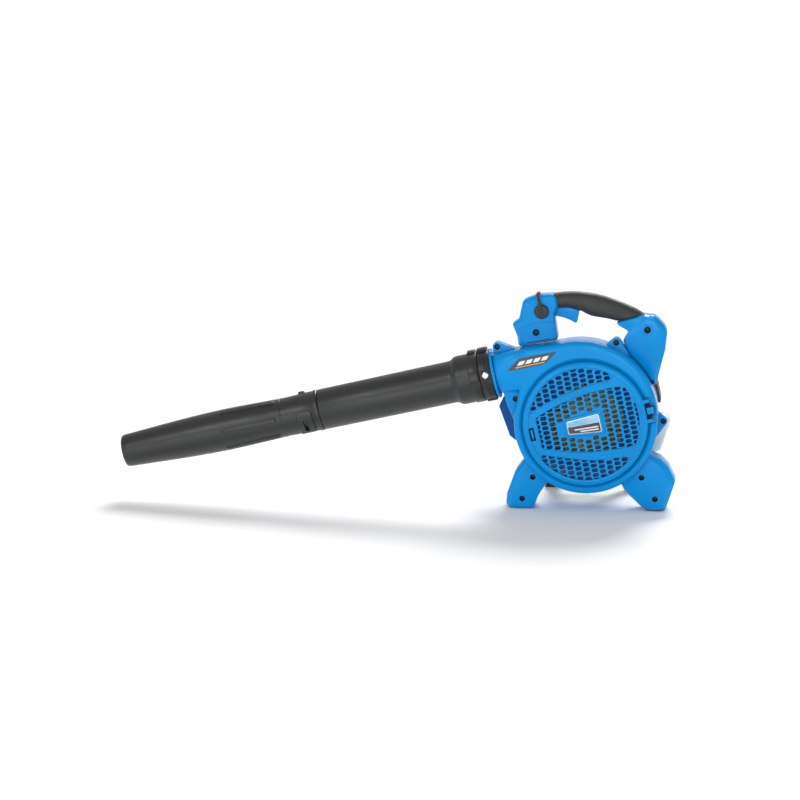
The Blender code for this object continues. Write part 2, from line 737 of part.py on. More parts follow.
def add_blow_pipe(fan):
    collar = pipe_turned([(0.4, 41.0), (1.6, 42.2), (19.6, 42.2), (20.8, 41.4)],
                         [(0.4, PIPE_BORE), (20.8, PIPE_BORE)])
    for turn, top in ((0.0, 47.6), (180.0, 45.2)):
        collar = join(collar, pipe_block(2.5, 19.5, 11.0, 36.0, top, turn, 1.5))
    collar = join(collar, pipe_block(4.0, 16.5, 7.5, 36.0, 44.6, CLAMP_TURN, 1.0))
    axis = Matrix.Rotation(math.radians(CLAMP_TURN), 4, "X")
    seat = cylinder("Z", (pipe_point(CLAMP_S), 0, 0), 2.0 + GAP, 30.0, 50.0)
    seat.transform(Matrix.Translation((0, DUCT_Y, DUCT_Z)) @ axis)
    collar = cut(collar, seat)
    make("pipe_collar", collar, "black_plastic", fan)

    head = turned([(34.6, 0), (34.6, 2.0), (44.9, 2.0), (44.9, 5.4), (47.0, 5.4), (47.6, 4.6),
                   (47.6, 0)], "Z", (pipe_point(CLAMP_S), 0, 0), SMALL_ROUND)
    slot = box((pipe_point(CLAMP_S) - 0.6, -6, 46.6), (pipe_point(CLAMP_S) + 0.6, 6, 49))
    head = cut(head, slot)
    head.transform(Matrix.Translation((0, DUCT_Y, DUCT_Z)) @ axis)
    make("clamp_screw", head, "bright_steel", fan)

    outer = [(21.2, 42.0), (22.2, 43.0), (37.0, 43.0), (38.0, 41.7), (58.0, 41.4), (63.0, 39.8),
             (66.5, 37.2), (70.0, 35.8), (300.0, 34.6), (301.0, 32.0), (357.0, 30.4)]
    inner = [(21.2, PIPE_BORE), (34.0, PIPE_BORE), (36.0, 33.6), (299.0, 30.2), (357.0, 28.6)]
    pipe = pipe_turned(outer, inner)
    pipe = join(pipe, pipe_block(22.5, 36.5, 12.0, 38.0, 46.6, 0.0, 1.5))
    pipe = join(pipe, pipe_block(23.5, 35.5, 9.0, 38.0, 45.6, 84.0, 1.2))
    for turn in (STUD_TURN, STUD_TURN + 180.0):
        stud = pipe_block(STUD_S - 2.7, STUD_S + 2.7, 3.0, 29.5, 36.6, turn, 0.5)
        pipe = join(pipe, stud)
    make("intermediate_pipe", pipe, "pipe_plastic", fan, (pipe_point(0), DUCT_Y, DUCT_Z))

    sleeve_end = 368.0
    outer = [(301.6, 34.9), (309.0, 34.9), (310.0, 34.3), (362.0, 32.9), (sleeve_end, 33.4),
             (372.0, 33.0), (412.0, 34.2), (468.0, 35.3), (525.0, 34.1), (581.0, 31.5),
             (624.0, 29.1), (648.6, 27.7), (651.8, 26.3)]
    inner = [(301.6, 32.7), (360.0, 31.1), (368.0, 30.4), (468.0, 33.0), (525.0, 31.8),
             (624.0, 26.8), (651.8, 24.9)]
    nozzle = pipe_turned(outer, inner)
    ribs = []
    for k in range(6):
        ring = []
        for s, r in ((381.0, 31.8), (384.0, 34.6), (471.0, 36.4), (475.0, 34.0)):
            ring.append((pipe_point(s), r))
        rib = loft([[(x, y, r) for x, r in ring] for y in (-3.2, 3.2)])
        rib.transform(Matrix.Translation((0, DUCT_Y, DUCT_Z))
                      @ Matrix.Rotation(math.radians(24.0 + 60.0 * k), 4, "X"))
        ribs.append(rib)
    nozzle = join(nozzle, merged(ribs))
    pads = [pipe_sector(STUD_S - 2, STUD_S + 8, 32.0, 37.6, -18.0, -4.0)]
    slots = []
    clearance = 6.5
    for turn in (STUD_TURN, STUD_TURN + 180.0):
        pads.append(pipe_sector(STUD_S - 13, STUD_S + 13, 31.0, 37.8, turn - 30.0, turn + 42.0))
        slots.append(pipe_sector(STUD_S - 3.3, STUD_S + 3.3, 29.0, 40.0, turn - clearance,
                                 turn + BAYONET_ANGLE + clearance))
    nozzle = join(nozzle, *pads)
    nozzle = cut(nozzle, pipe_turned([(301.0, 32.7), (360.0, 31.1)], [(301.0, 20.0), (360.0, 20.0)]))
    nozzle = cut(nozzle, *slots)
    make("nozzle", nozzle, "pipe_plastic", fan, (pipe_point(STUD_S), DUCT_Y, DUCT_Z))


# ---------------------------------------------------------------- handle (level frame)
GRIP_SECTIONS = [
    # top and bottom of the grip, (x, z)
    ((-57.5, 211.3), (-51.2, 185.4)),
    ((-33.0, 214.2), (-32.0, 185.8)),
    ((-6.0, 213.2), (-14.0, 181.4)),
    ((22.0, 208.6), (3.0, 174.0)),
    ((50.0, 199.7), (18.0, 171.0)),
    ((77.0, 188.4), (33.0, 168.8)),
    ((94.2, 178.6), (46.8, 165.4)),
]
CORE_SHARE = 0.4
TRIGGER_PIVOT = (-60.5, 182.5)
CRUISE_PIVOT = (-77.1, 181.3)
HANDLE_SCREWS = {
    "handle_screw_front": (-86.2, 145.7),
    "handle_screw_rear": (99.6, 152.8),
}
POST_OUTLINE = [(-115.6, 121.0), (-118.0, 138), (-127, 160), (-115.6, 166.7), (-109.3, 197.0),
                (-105.5, 200.8), (-86, 208.4), (-59.0, 210.4), (-50.8, 201), (-50.2, 193.5),
                (-51.5, 185.4), (-55, 180), (-55, 172), (-49, 133.6)]


def core_ring(index, share, half_low, half_high, margin=0.0):
    """Rectangular section of the handle core that runs inside the grip."""
    top, bottom = (Vector(p) for p in GRIP_SECTIONS[index])
    middle = (top + bottom) / 2
    arm = (top - bottom) / 2
    arm = arm * share + arm.normalized() * margin
    a = middle + arm
    b = middle - arm
    return [(a.x, half_low, a.y), (a.x, half_high, a.y), (b.x, half_high, b.y), (b.x, half_low, b.y)]


def core(y0, y1, share, margin=0.0, reach=9.0):
    rings = [core_ring(i, share, y0, y1, margin) for i in range(len(GRIP_SECTIONS))]
    first = [(x - reach, y, z) for x, y, z in rings[0]]
    last = [(x + reach * 0.3, y, z - reach) for x, y, z in rings[-1]]
    return loft([first] + rings + [last])


def block_outline():
    """Rear block of the handle: it hugs the outside of the scroll with a thin gap."""
    upper = [(47.6, 165.0), (94.6, 178.1), (101, 176.7), (110, 176.4), (119, 170), (128, 160),
             (132, 152), (132, 143), (129.5, 119), (121, 85), (115.5, 60)]
    hug = []
    for angle in (32.0, 38.0, 46.0, 54.0, 62.0):
        radius = BASE_RADIUS + VOLUTE_GROWTH * (angle - TILT - VOLUTE_START) + 1.2
        hug.append(polar(radius, angle))
    lower = [(62, 127), (59, 134), (68.6, 149.5), (59, 154.5), (50, 159.5)]
    return [upper[0]] + lower[::-1] + hug[::-1] + [(111.4, 60.5)] + upper[:0:-1]


def handle_half(y0, y1, bevel_front, bevel_rear):
    post = prism(rounded(POST_OUTLINE, 4.5, 1), y0, y1, bevel_front, bevel_rear)
    block = prism(rounded(block_outline(), 4.5, 1), y0, y1, bevel_front, bevel_rear)
    core_y = (max(y0, HANDLE_SPLIT - 7), min(y1, HANDLE_SPLIT + 7))
    half = join(post, core(core_y[0], core_y[1], CORE_SHARE))
    room = lug_room()
    room.transform(Matrix.Rotation(-math.radians(TILT), 4, "Y"))
    half = cut(join(half, block), room)
    x, z = TRIGGER_PIVOT
    pocket = prism([(-69, 170), (-69, 192), (-48, 192), (-48, 170)], 15.4, 28.6)
    pin = cylinder("Y", (x, 0, z), 2.0 + GAP, 11.7, 32.3)
    return cut(half, pocket, pin)


def add_handle(level):
    split = GAP / 2
    front = handle_half(0.3, HANDLE_SPLIT - split, 2.5, 0.0)
    rear = handle_half(HANDLE_SPLIT + split, HANDLE_WIDTH, 0.0, 2.5)
    for name, centre in HANDLE_SCREWS.items():
        front = cut(front, screw_hole_level(centre, 0.3, 4.5, 34.5))
        rear = cut(rear, screw_hole_level(centre, 0.3, 4.5, 34.5))
        screw(name, centre, 0.3, 4.5, level, tip=34.0)
    x, z = CRUISE_PIVOT
    front = cut(front, cylinder("Y", (x, 0, z), 3.2 + GAP, -2, 10.3))
    front = cut(front, box((-87.2, 7.5, 203), (-79.2, 14.5, 216)))
    make("handle_front_half", front, "blue_plastic", level)
    make("handle_rear_half", rear, "blue_plastic", level)

    arm = prism([(x - 1.8, z), (x - 8.6, z + 31.5), (x - 5.4, z + 31.8), (x + 1.8, z)], -6.0, -3.0,
                0.6)
    hub = turned([(-3.8, 0), (-3.8, 10.4), (-3.2, 11.0), (0.0, 11.0), (0.0, 3.2), (9.8, 3.2),
                  (9.8, 0)], "Y", (x, 0, z), ROUND)
    make("cruise_lever", join(hub, arm), "black_plastic", level, (x, 0, z))
    button = prism(rounded([(-86.8, 205.5), (-79.6, 205.5), (-79.6, 212.6), (-81.2, 214.2),
                            (-85.2, 213.6), (-86.8, 211.6)], 1.0, 1), 7.9, 14.1)
    make("stop_switch", button, "red_plastic", level, (-83, 11, 208))


def screw_hole_level(centre, front, sink, depth):
    head = SCREW_HEAD + 1.2
    shank = SCREW_SHANK + GAP
    profile = [(front - 3, 0), (front - 3, head), (front + sink + 3.5, head),
               (front + sink + 3.5, shank), (depth, shank), (depth, 0)]
    return turned(profile, "Y", (centre[0], 0, centre[1]), SMALL_ROUND)


def add_grip(level):
    rings = []
    for top, bottom in GRIP_SECTIONS:
        top = Vector(top)
        bottom = Vector(bottom)
        middle = (top + bottom) / 2
        arm = (top - bottom) / 2
        ring = []
        for i in range(20):
            c, s = polar(1.0, 360.0 * (i + 0.5) / 20)
            c = math.copysign(abs(c) ** 0.85, c)
            s = math.copysign(abs(s) ** 0.85, s)
            point = middle + arm * s
            ring.append((point.x, HANDLE_SPLIT + GRIP_HALF_WIDTH * c, point.y))
        rings.append(ring)
    first = rings[0]
    rings[0] = [(x + GAP * 2, y, z) for x, y, z in first]
    rings[-1] = [(x - 0.4, y, z + 0.5) for x, y, z in rings[-1]]
    grip = loft(rings)
    bore = core(HANDLE_SPLIT - 7.4, HANDLE_SPLIT + 7.4, CORE_SHARE, margin=0.5, reach=14.0)
    grip = cut(grip, bore)
    slot = prism([(-60, 160), (-60, 195), (-8, 192.5), (-6, 160)], 15.4, 28.6)
    post_room = prism(inset(POST_OUTLINE, -0.4), -5, HANDLE_WIDTH + 5)
    make("grip", cut(grip, slot, post_room), "grip_rubber", level)

    x, z = TRIGGER_PIVOT
    outline = rounded([(-66, 186.8), (-52, 186.8), (-14.5, 179.4), (-21.0, 161.0), (-41.7, 171.8),
                       (-55, 174.8), (-66, 176)], 2.5, 2)
    trigger = prism(outline, 16.0, 28.0, 1.5, 1.5)
    trigger = cut(trigger, cylinder("Y", (x, 0, z), 2.0 + GAP, 10, 34))
    make("trigger", trigger, "blue_plastic", level, (x, HANDLE_SPLIT, z))
    make("trigger_pin", cylinder("Y", (x, 0, z), 2.0, 12, 32), "bright_steel", level, (x, 22, z))


# ---------------------------------------------------------------- engine (fan frame)
def add_rotating_parts(fan):
    bore = CRANK_RADIUS + GAP
    hub = turned([(-10, bore), (20, bore), (20, 16), (17.5, 98), (14.5, 98), (4, 56), (-10, 22)],
                 segments=28, closed=True)
    blades = []
    for k in range(10):
        inner = []
        outer = []
        for j in range(4):
            t = j / 3
            radius = 30 + 67 * t
            angle = 360.0 * k / 10 + 34.0 * t * t
            inner.append(polar(radius, angle))
            outer.append(polar(radius, angle + 110.0 / radius))
        section = inner + outer[::-1]
        blades.append(loft([[(x, -24, z) for x, z in section], [(x, 15, z) for x, z in section]]))
    fan_wheel = join(hub, merged(blades))
    make("impeller", fan_wheel, "fan_plastic", fan)
    nut = turned([(-16.0, bore), (-10.3, bore), (-10.3, 9.0), (-14.8, 9.0), (-16.0, 7.6)],
                 segments=6, closed=True)
    make("fan_nut", nut, "bright_steel", fan)

    shaft = turned([(-20, 0), (-20, 4.0), (-9.9, 4.0), (-9.9, CRANK_RADIUS), (30, CRANK_RADIUS),
                    (30, 7), (62, 7), (62, 24), (68, 24), (68, 0)], segments=ROUND)
    tail = turned([(78, 0), (78, 24), (84, 24), (84, 7), (100.6, 7), (100.6, CRANK_RADIUS),
                   (119, CRANK_RADIUS), (119, 0)], segments=ROUND)
    pin = cylinder("Y", (0, 0, 14.0), 5.5, 67, 79)
    make("crankshaft", join(shaft, pin, tail), "bright_steel", fan)
    flywheel = turned([(101.2, bore), (114, bore), (114, 12), (109, 16), (109, 38), (113.6, 42),
                       (101.2, 42), (101.2, 34), (104.6, 30), (104.6, 14), (101.2, 12)],
                      segments=24, closed=True)
    make("flywheel", flywheel, "cast_aluminium", fan)


def add_engine(fan):
    body = prism(rounded([(-34, -36), (34, -36), (36, 10), (26, 34), (-26, 34), (-36, 10)], 5, 2),
                 43.0, ENGINE_REAR)
    flange = turned([(CASE_REAR + 0.4, 40), (44, 40)], segments=28)
    case = join(body, flange)
    space = turned([(30, 7 + GAP), (57, 7 + GAP), (57, 27), (89, 27), (89, 7 + GAP),
                    (110, 7 + GAP)], segments=ROUND)
    case = cut(case, space, cylinder("Z", (0, 73, 0), CYLINDER_BORE, 10, 50, ROUND))
    make("crankcase", case, "cast_aluminium", fan)

    fins = [(34.4, 20)]
    for k in range(5):
        z = 42 + 9.5 * k
        fins += [(z, 20), (z, 24), (z + 3.0, 24), (z + 3.0, 20)]
    fins += [(92, 20), (95, 14), (95, 5 + GAP), (86, 5 + GAP), (86, CYLINDER_BORE),
             (34.4, CYLINDER_BORE)]
    barrel = turned(fins, "Z", (0, 73, 0), 14, closed=True)
    intake = box((20, 62, 40), (41.6, 84, 58))
    exhaust = box((-43.6, 60, 44), (-20, 86, 62))
    barrel = join(barrel, intake, exhaust)
    barrel = cut(barrel, cylinder("Z", (0, 73, 0), CYLINDER_BORE, 36, 84, ROUND),
                 cylinder("X", (0, 73, 49), 6.0, 10, 50), cylinder("X", (0, 73, 53), 6.5, -50, -10))
    make("cylinder", barrel, "cast_aluminium", fan)
    piston = cup("Z", (0, 73, 0), 42, 66, 61, 16.6, 13.5)
    make("piston", piston, "cast_aluminium", fan)

    plug = turned([(86.6, 0), (86.6, 4.6), (95.6, 4.6), (95.6, 7), (99, 7), (99, 3), (104, 3),
                   (104, 0)], "Z", (0, 73, 0), SMALL_ROUND)
    make("spark_plug", plug, "bright_steel", fan)
    cap = turned([(104.4, 0), (104.4, 3.4), (99.5, 3.4), (99.5, 8.5), (104.5, 8.5), (106.6, 6.5),
                  (106.6, 0)], "Z", (0, 73, 0), SMALL_ROUND)
    make("plug_cap", cap, "soft_rubber", fan)
    lead = smooth_path([(0, 82.4, 101.5), (0, 90, 101.8), (0, 98, 98), (0, 105.5, 84), (0, 107, 66)], 2)
    make("ignition_lead", tube(lead, 2.5, 6), "soft_rubber", fan)
    coil = rounded_box((-15, 101, 43.2), (15, 113, 55), 1.5)
    coil = join(coil, cylinder("Z", (0, 107, 0), 5.0, 54, 65.6))
    make("ignition_coil", coil, "black_plastic", fan)


def cup(axis, centre, rim, crown, floor, outer, inner):
    """Round cup: open at the rim, closed at the crown."""
    return turned([(floor, 0), (floor, inner), (rim, inner), (rim, outer), (crown, outer),
                   (crown, 0)], axis, centre, ROUND)


def open_shell(outline, y0, y1, thickness, opening):
    """Hollow prism with one side cut away by the opening's mesh."""
    outer = prism(outline, y0, y1, 3.0, 3.0)
    space = prism(inset(outline, thickness), y0 + thickness, y1 - thickness)
    return cut(outer, join(space, opening))


def add_covers(fan):
    muffler = rounded_box((-104, 52, 4), (-44, 96, 60), 5)
    inner = rounded_box((-102, 54, 6), (-46, 94, 58), 4)
    muffler = cut(muffler, inner, cylinder("Z", (-84, 74, 0), 5.0, -1, 12))
    make("muffler", muffler, "dark_steel", fan)
    outline = rounded([(-134, 60), (-145, 46), (-138, -8), (-130, -18), (-52, -30), (-46, -6),
                       (-46, 66), (-120, 66)], 7, 2)
    side = box((-60, 49, -60), (-30, 101, 100))
    cover = open_shell(outline, 46.0, 104.0, 2.6, side)
    slots = []
    for k in range(5):
        slots.append(box((-96 + 11 * k, 98, -4), (-90 + 11 * k, 108, 40)))
    cover = cut(cover, merged(slots), cylinder("Z", (-84, 74, 0), 8.0, -60, 0))
    cover = cut(cover, turned([(95, 64.5), (110, 64.5)], segments=48))
    make("muffler_cover", cover, "blue_plastic", fan)

    outline = rounded([(-42, 36.5), (-42, 100), (-34, 110.5), (30, 110.5), (39, 102), (39, 36.5)],
                      5, 2)
    bottom = box((-60, 48.6, 30), (60, 97.4, 62))
    ports = [box((36, 56, 30), (46, 97, 66)), box((-60, 50, 30), (-36, 97, 70))]
    hood = open_shell(outline, 46.0, ENGINE_REAR, 2.6, bottom)
    hood = cut(hood, merged(ports), box((-5, 90, 78), (5, 110, 108)))
    vents = []
    for k in range(4):
        vents.append(box((-26 + 15 * k, 60, 104), (-19 + 15 * k, 86, 116)))
    hood = cut(hood, merged(vents))
    make("engine_cover", hood, "blue_plastic", fan)


def add_fuel_system(fan):
    body = rounded_box((42.2, 62, 34), (70, 92, 64), 1.5)
    body = cut(body, cylinder("X", (0, 73, 49), 7.0, 30, 80))
    body = cut(body, turned([(30, 0), (30, 9.6), (40.5, 9.6), (40.5, 0)], "Z", (58, 81, 0), 16))
    body = cut(body, cylinder("Y", (56, 0, 58), 2.0 + GAP, 85, 99))
    body = cut(body, cylinder("Y", (62, 0, 57), 2.0 + GAP, 55, 68))
    make("carburettor", body, "cast_aluminium", fan)

    arm = prism(convex_hull(arc((56, 58), 5.5, 0, 330, 11) + arc((72, 66), 3.0, 0, 330, 11)),
                92.4, 95.0)
    arm = join(arm, cylinder("Y", (56, 0, 58), 2.0, 86, 93))
    make("throttle_lever", arm, "bright_steel", fan, (56, 92, 58))
    choke = prism(convex_hull(arc((62, 57), 5.5, 0, 330, 11) + arc((62, 80), 3.5, 0, 330, 11)),
                  58.6, 61.6)
    choke = join(choke, cylinder("Y", (62, 0, 57), 2.0, 61, 67))
    make("choke_lever", choke, "black_plastic", fan, (62, 60, 57))
    bulb = turned([(28.5, 0), (29.3, 5), (32, 8), (35, 9.2), (36.6, 9.2), (36.6, 0)], "Z",
                  (58, 81, 0), 16)
    make("primer_bulb", bulb, "soft_rubber", fan, (58, 81, 33))

    outline = [(y, z) for y, z in ((50, -2), (106, -2), (106, 62), (50, 62))]
    case = air_box(outline, 76.0, 119.5)
    case = cut(case, air_space(outline, 79.0, 121.0), cylinder("X", (0, 73, 49), 7.0, 70, 85))
    case = join(case, turned([(70.4, 7.0), (77, 7.0), (77, 10.0), (70.4, 10.0)], "X", (0, 73, 49),
                             16, closed=True))
    make("air_cleaner_case", case, "case_grey", fan)
    make("air_filter", air_space(inset(outline, 1.0), 82.0, 117.0), "filter_foam", fan)
    lid = air_box(outline, 120.0, 126.0)
    lid = join(lid, cylinder("Y", (123, 0, -2.6), 2.4, 52, 104))
    make("air_cleaner_cover", lid, "black_plastic", fan, (123, 78, -2.6))

    outline = rounded([(-64, -42), (56, -42), (84, -28), (126, -26.5), (136.4, -37), (108.5, -84),
                       (94, -87), (-50, -87), (-64, -76)], 7, 2)
    tank = prism(outline, 46.0, 97.0, 4.0, 4.0)
    tank = hollow_tank(tank, outline)
    make("fuel_tank", tank, "tank_plastic", fan)
    cap = turned([(104.6, 0), (104.6, 12.0), (98.0, 12.6), (98.0, 16.5), (110, 17.5), (113, 15.5),
                  (113, 0)], "Y", (98, 0, -57), 24)
    make("fuel_cap", cap, "black_plastic", fan, (98, 98, -57))
    line = smooth_path([(68, 58.5, -33.0), (68, 58.5, -22), (61, 59, 4), (54, 64, 22),
                        (53, 66, 28), (53, 66, 33.6)], 2)
    make("fuel_line", tube(line, 2.2, 6), "soft_rubber", fan)


def air_box(outline, x0, x1):
    loop = rounded(outline, 7, 2)
    return loft([[(x, y, z) for y, z in loop] for x in (x0, x1)])


def air_space(outline, x0, x1):
    loop = rounded(inset(outline, 3.0), 5, 2)
    return loft([[(x, y, z) for y, z in loop] for x in (x0, x1)])


def hollow_tank(tank, outline):
    """Add the filler neck and hollow the tank through it."""
    neck = turned([(96, 11.5), (103.8, 11.5)], "Y", (98, 0, -57), 24)
    tank = join(tank, neck)
    space = prism(inset(outline, 2.6), 48.6, 94.4)
    filler = cylinder("Y", (98, 0, -57), 9.5, 90, 110, 24)
    return cut(tank, join(space, filler))


PULL_ANGLE = 118.0        # direction in which the starter rope leaves, in the fan frame
REEL_RADIUS = 32.0


def add_starter(fan):
    profile = [(147.4, 0), (147.4, 47), (139, 57.8), (ENGINE_REAR + 0.4, 59.0),
               (ENGINE_REAR + 0.4, 62.0), (140, 60.5), (149, 52), (150, 48), (150, 0)]
    case = turned(profile, segments=26)
    slots = []
    for k in range(6):
        slot = box((26, 144, -4.0), (44, 154, 4.0))
        slot.transform(Matrix.Rotation(math.radians(60.0 * k), 4, "Y"))
        slots.append(slot)
    case = cut(case, merged(slots))
    case = join(case, turned([(124, 0), (124, 6.0), (148, 6.0), (148, 0)], segments=16))
    case = cut(case, cylinder("Z", (0, 107, 0), 6.0, 50, 70, 16))
    exit_point = rope_exit()
    eye = directed_cylinder(exit_point, 2.6, -12, 14)
    case = cut(case, eye)
    make("starter_case", case, "black_plastic", fan)
    reel = turned([(125, 6.3), (143, 6.3), (143, 34), (139, 34), (139, REEL_RADIUS - 3),
                   (129, REEL_RADIUS - 3), (129, 34), (125, 34)], segments=24, closed=True)
    make("starter_reel", reel, "black_plastic", fan)
    rope = directed_cylinder(exit_point, 1.8, -26, 11.6)
    make("starter_rope", rope, "soft_rubber", fan, exit_point)
    handle = directed_cylinder(exit_point, 3.6, 12.0, 20.0)
    grip_bar = cylinder("Y", (0, 0, 0), 6.0, -21, 21, 16)
    grip_bar.transform(Matrix.Translation(along_pull(exit_point, 22.0)))
    make("starter_handle", join(handle, grip_bar), "black_plastic", fan, exit_point)


def rope_exit():
    """Where the rope crosses the wall of the starter case."""
    x, z = polar(REEL_RADIUS, PULL_ANGLE - 90.0)
    along = math.sqrt(60.5 ** 2 - REEL_RADIUS ** 2)
    dx, dz = polar(along, PULL_ANGLE)
    return (x + dx, 134.0, z + dz)


def along_pull(point, distance):
    dx, dz = polar(distance, PULL_ANGLE)
    return Vector(point) + Vector((dx, 0, dz))


def directed_cylinder(point, radius, start, end):
    """Cylinder along the pull direction, from start to end past the point."""
    bm = cylinder("X", (0, 0, 0), radius, start, end)
    bm.transform(Matrix.Translation(point) @ Matrix.Rotation(-math.radians(PULL_ANGLE), 4, "Y"))
    return bm


def add_rear_stand(level):
    """Cradle under the starter, with two legs that slope back to the ground."""
    outline = arc((0, 0), 62.8, 212.0, 328.0, 12) + arc((0, 0), 69.0, 328.0, 212.0, 12)
    cradle = prism(outline, 110.0, 146.0, 1.0, 1.0)
    legs = []
    for side, reach in ((-1, 66.0), (1, 84.0)):
        rings = []
        for x, half, y0, y1, z in ((side * 38.0, 12, 116, 144, -60), (side * 52.0, 12, 140, 160, -104),
                                   (side * reach, 13, 166, 180, -144),
                                   (side * reach, 13, 166, 187, -149)):
            rings.append([(x - half, y0, z), (x + half, y0, z), (x + half, y1, z), (x - half, y1, z)])
        legs.append(loft(rings))
    brace = box((-50, 140, -104), (50, 152, -94))
    make("rear_stand", join(cradle, *legs, brace), "black_plastic", level)


def main():
    clear_scene()
    level = frame("level_frame", location=(ORIGIN_X, ORIGIN_Y, AXIS_HEIGHT))
    fan = frame("fan_frame", parent=level, tilt=-TILT)
    add_fan_case(fan)
    add_side_label(fan)
    add_inlet_door(fan)
    add_blow_pipe(fan)
    add_handle(level)
    add_grip(level)
    add_rotating_parts(fan)
    add_engine(fan)
    add_covers(fan)
    add_fuel_system(fan)
    add_starter(fan)
    add_rear_stand(level)


main()
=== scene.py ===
"""Looks of the hand-held petrol leaf blower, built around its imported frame.

Meshes are modelled in millimetres in one of two frames that share the fan's centre. The level frame
is parallel to the world. The fan frame is tilted with the pipe, the grille and the engine. Y runs
from the grille towards the starter.
"""
import json
import math

import bmesh
import bpy
from mathutils import Matrix, Vector


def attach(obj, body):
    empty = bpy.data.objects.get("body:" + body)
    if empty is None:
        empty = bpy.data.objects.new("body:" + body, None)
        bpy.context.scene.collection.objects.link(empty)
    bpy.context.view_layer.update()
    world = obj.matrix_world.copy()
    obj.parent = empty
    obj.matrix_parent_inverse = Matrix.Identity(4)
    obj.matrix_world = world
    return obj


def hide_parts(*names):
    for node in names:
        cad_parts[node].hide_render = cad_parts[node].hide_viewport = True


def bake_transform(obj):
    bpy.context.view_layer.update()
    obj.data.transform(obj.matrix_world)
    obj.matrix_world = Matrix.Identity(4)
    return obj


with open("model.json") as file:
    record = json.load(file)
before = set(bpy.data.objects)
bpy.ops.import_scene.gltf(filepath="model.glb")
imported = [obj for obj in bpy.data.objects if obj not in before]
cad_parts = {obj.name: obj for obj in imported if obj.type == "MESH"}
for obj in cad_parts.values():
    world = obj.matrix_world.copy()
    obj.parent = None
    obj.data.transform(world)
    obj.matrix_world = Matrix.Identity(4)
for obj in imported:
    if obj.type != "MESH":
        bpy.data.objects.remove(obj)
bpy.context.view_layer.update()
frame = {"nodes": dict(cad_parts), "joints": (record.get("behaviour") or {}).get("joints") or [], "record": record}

MM = 0.001
GAP = 0.3
JOINTS = {joint["name"]: joint for joint in frame["joints"]}
FAN_CENTRE = Vector(JOINTS["crank_spin"]["pos_m"])
ALONG = Vector(JOINTS["latch_slide"]["axis"])
ACROSS = Vector((0.0, 1.0, 0.0))
UP = Vector(JOINTS["door_hinge"]["axis"])
TILT = math.degrees(math.atan2(ALONG.z, ALONG.x))


def frame_matrix(x_axis, z_axis):
    """Millimetres in a frame at the fan's centre to metres in the row frame."""
    matrix = Matrix((x_axis, ACROSS, z_axis)).transposed().to_4x4()
    matrix.translation = FAN_CENTRE
    return matrix @ Matrix.Scale(MM, 4)


FAN = frame_matrix(ALONG, UP)
LEVEL = frame_matrix(Vector((1.0, 0.0, 0.0)), Vector((0.0, 0.0, 1.0)))


# ---------------------------------------------------------------- plane geometry
def to_fan(x, z):
    """Level frame to fan frame, in the XZ plane."""
    c = math.cos(math.radians(TILT))
    s = math.sin(math.radians(TILT))
    return (x * c + z * s, -x * s + z * c)


def polar(radius, angle):
    return (radius * math.cos(math.radians(angle)), radius * math.sin(math.radians(angle)))


def arc(centre, radius, start, end, steps):
    """Points on an arc, both ends included."""
    points = []
    for i in range(steps + 1):
        x, z = polar(radius, start + (end - start) * i / steps)
        points.append((centre[0] + x, centre[1] + z))
    return points


def rounded(corners, radius, steps=5):
    """Replace each corner of a closed outline by an arc. A corner may carry its own radius."""
    result = []
    count = len(corners)
    for i in range(count):
        corner = Vector(corners[i][:2])
        own = corners[i][2] if len(corners[i]) > 2 else radius
        back = Vector(corners[i - 1][:2]) - corner
        ahead = Vector(corners[(i + 1) % count][:2]) - corner
        half = back.angle(ahead) / 2
        sweep = math.pi - 2 * half
        if sweep < 0.05 or own <= 0:
            result.append((corner.x, corner.y))
            continue
        reach = min(own / math.tan(half), back.length * 0.46, ahead.length * 0.46)
        back.normalize()
        ahead.normalize()
        centre = corner + (back + ahead).normalized() * (reach / math.cos(half))
        start = corner + back * reach - centre
        end = corner + ahead * reach - centre
        for k in range(steps + 1):
            t = k / steps
            point = (centre + start * (math.sin((1 - t) * sweep) / math.sin(sweep))
                     + end * (math.sin(t * sweep) / math.sin(sweep)))
            result.append((point.x, point.y))
    return result


def signed_area(outline):
    total = 0.0
    for i, (x, z) in enumerate(outline):
        nx, nz = outline[(i + 1) % len(outline)]
        total += x * nz - nx * z
    return total / 2


def inset(outline, distance):
    """Move each edge of a closed outline inwards by the distance."""
    side = 1.0 if signed_area(outline) > 0 else -1.0
    result = []
    count = len(outline)
    for i in range(count):
        here = Vector(outline[i])
        back = (here - Vector(outline[i - 1])).normalized()
        ahead = (Vector(outline[(i + 1) % count]) - here).normalized()
        normal = Vector((-back.y - ahead.y, back.x + ahead.x)) * side
        if normal.length < 1e-6:
            normal = Vector((-back.y, back.x)) * side
        normal.normalize()
        cosine = max(0.35, normal.dot(Vector((-back.y, back.x)) * side))
        point = here + normal * (distance / cosine)
        result.append((point.x, point.y))
    return result


def convex_hull(points):
    points = sorted(set((round(x, 4), round(z, 4)) for x, z in points))

    def cross(a, b, c):
        return (b[0] - a[0]) * (c[1] - a[1]) - (b[1] - a[1]) * (c[0] - a[0])

    def half(sequence):
        chain = []
        for p in sequence:
            while len(chain) > 1 and cross(chain[-2], chain[-1], p) <= 0:
                chain.pop()
            chain.append(p)
        return chain[:-1]

    return half(points) + half(points[::-1])


def inside(point, outline):
    """True where the point lies in the closed outline."""
    x, z = point
    found = False
    for i, (x1, z1) in enumerate(outline):
        x0, z0 = outline[i - 1]
        if (z0 > z) != (z1 > z) and x < (x1 - x0) * (z - z0) / (z1 - z0) + x0:
            found = not found
    return found


